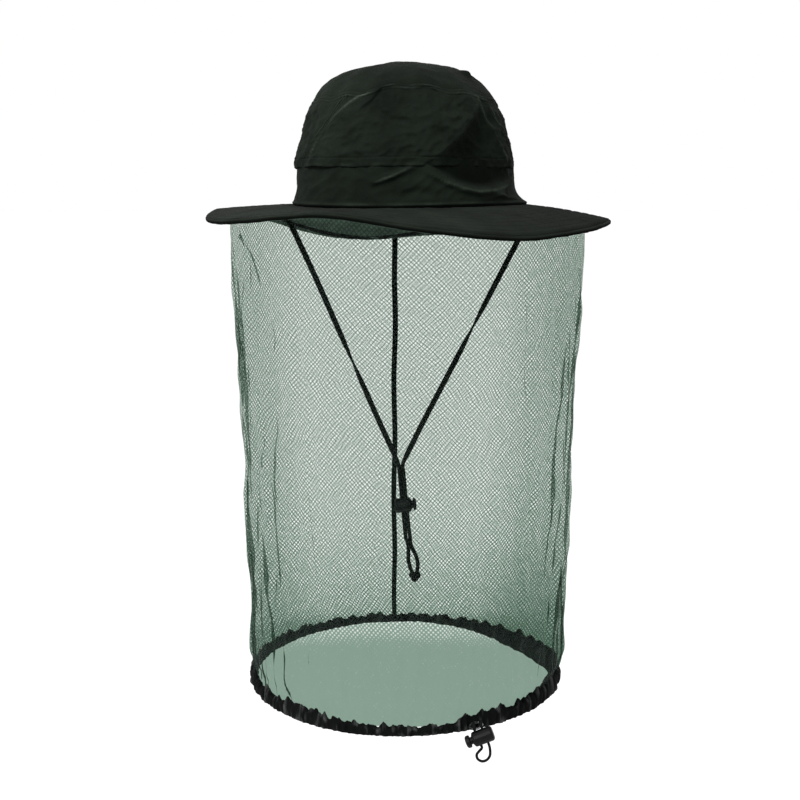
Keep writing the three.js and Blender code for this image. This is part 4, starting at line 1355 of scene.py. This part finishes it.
def make_stage():
    """A white surround, a wide floor far below, a soft key light and light from above."""
    world = bpy.data.worlds.new("studio")
    bpy.context.scene.world = world
    world.use_nodes = True
    background = world.node_tree.nodes["Background"]
    background.inputs["Color"].default_value = (1, 1, 1, 1)
    background.inputs["Strength"].default_value = 1.0
    bpy.context.scene.view_settings.view_transform = "Standard"

    corners = [(-1, -1), (1, -1), (1, 1), (-1, 1)]
    corners = [(FLOOR_HALF_WIDTH * x, FLOOR_HALF_WIDTH * y, FLOOR_HEIGHT) for x, y in corners]
    floor = new_object("floor", corners, [[0, 1, 2, 3]])
    paper = Nodes("floor_paper")
    paper.look("Base Color", (0.85, 0.85, 0.85, 1))
    paper.look("Roughness", 0.9)
    paper.look("Specular IOR Level", 0.1)
    floor.data.materials.append(paper.material)

    key = new_light("key_light", "AREA", 62)
    key.data.shape = "DISK"
    key.data.size = 0.9
    key.location = (-1.1, -1.3, 1.3)
    key.rotation_euler = (Vector((0, 0, -0.05)) - key.location).to_track_quat("-Z", "Y").to_euler()
    ceiling = new_light("ceiling_light", "SUN", 0.7)
    ceiling.data.angle = math.radians(60)
    ceiling.rotation_euler = (math.radians(12), math.radians(-10), 0)


# ---- Making everything -----------------------------------------------------------------------------
make_camera()

crown_cloth = cloth_material("crown_canvas", (0.0040, 0.0060, 0.0041))
brim_cloth = cloth_material("brim_canvas", (0.0058, 0.0077, 0.0059))
# The underside's cloth is greener than the upper ply's, and its colour is painted much paler to make up for
# the shade under the brim: painted light.
brim_underside_painted_light = cloth_material("brim_underside_canvas_painted_light", (0.048, 0.070, 0.056))
lining_cloth = cloth_material("lining_cloth", (0.016, 0.026, 0.020), roughness=0.9)
tape_cloth = cloth_material("gathered_tape", (0.0020, 0.0025, 0.0022), pitch=0.0005, wear_and_highlight_lift=0.030)
netting = net_material()
lace_braid = braid_material("flat_braid", (0.0024, 0.0030, 0.0026), 0.0027)
elastic_braid = braid_material("elastic_braid", (0.0024, 0.0028, 0.0026), 0.0007)
lock_plastic = plastic_material()
spring_steel = metal_material("spring_steel", (0.55, 0.56, 0.57), 0.3)
eyelet_metal = metal_material("eyelet_metal", (0.32, 0.33, 0.34), 0.35)

make_end_knot()
make_lace("chin_cord_left_lace", CHIN_LEFT_ROUTE, "chin_cord_left", -0.120)
make_lace("chin_cord_right_lace", CHIN_RIGHT_ROUTE, "chin_cord_right", -0.0965)
make_hem_loop()

make_crown_panels()
make_top_panel()
make_hat_band()
make_sweatband()
make_brim_ply(1, "brim_upper_ply", "brim_upper_ply_cloth")
make_brim_ply(-1, "brim_lower_ply", "brim_lower_ply_cloth")
make_interlining()
make_edge_binding()
make_cord_tab("chin_cord_tab_left_loop", "chin_cord_tab_left", -0.0905, -0.008)
make_cord_tab("chin_cord_tab_right_loop", "chin_cord_tab_right", 0.0970, 0.008)

make_top_binding()
make_net()
make_seam_tape()
make_hem_casing()

for lock in ("chin_lock", "hem_lock"):
    dress_cad(f"{lock}_barrel", lock_plastic)
    dress_cad(f"{lock}_plunger", lock_plastic)
    make_spring(lock, lock.replace("lock", "button"))
dress_cad("hem_cord_eyelet", eyelet_metal)
dress_cad("hem_drawcord", elastic_braid, bevel=0)

make_stage()
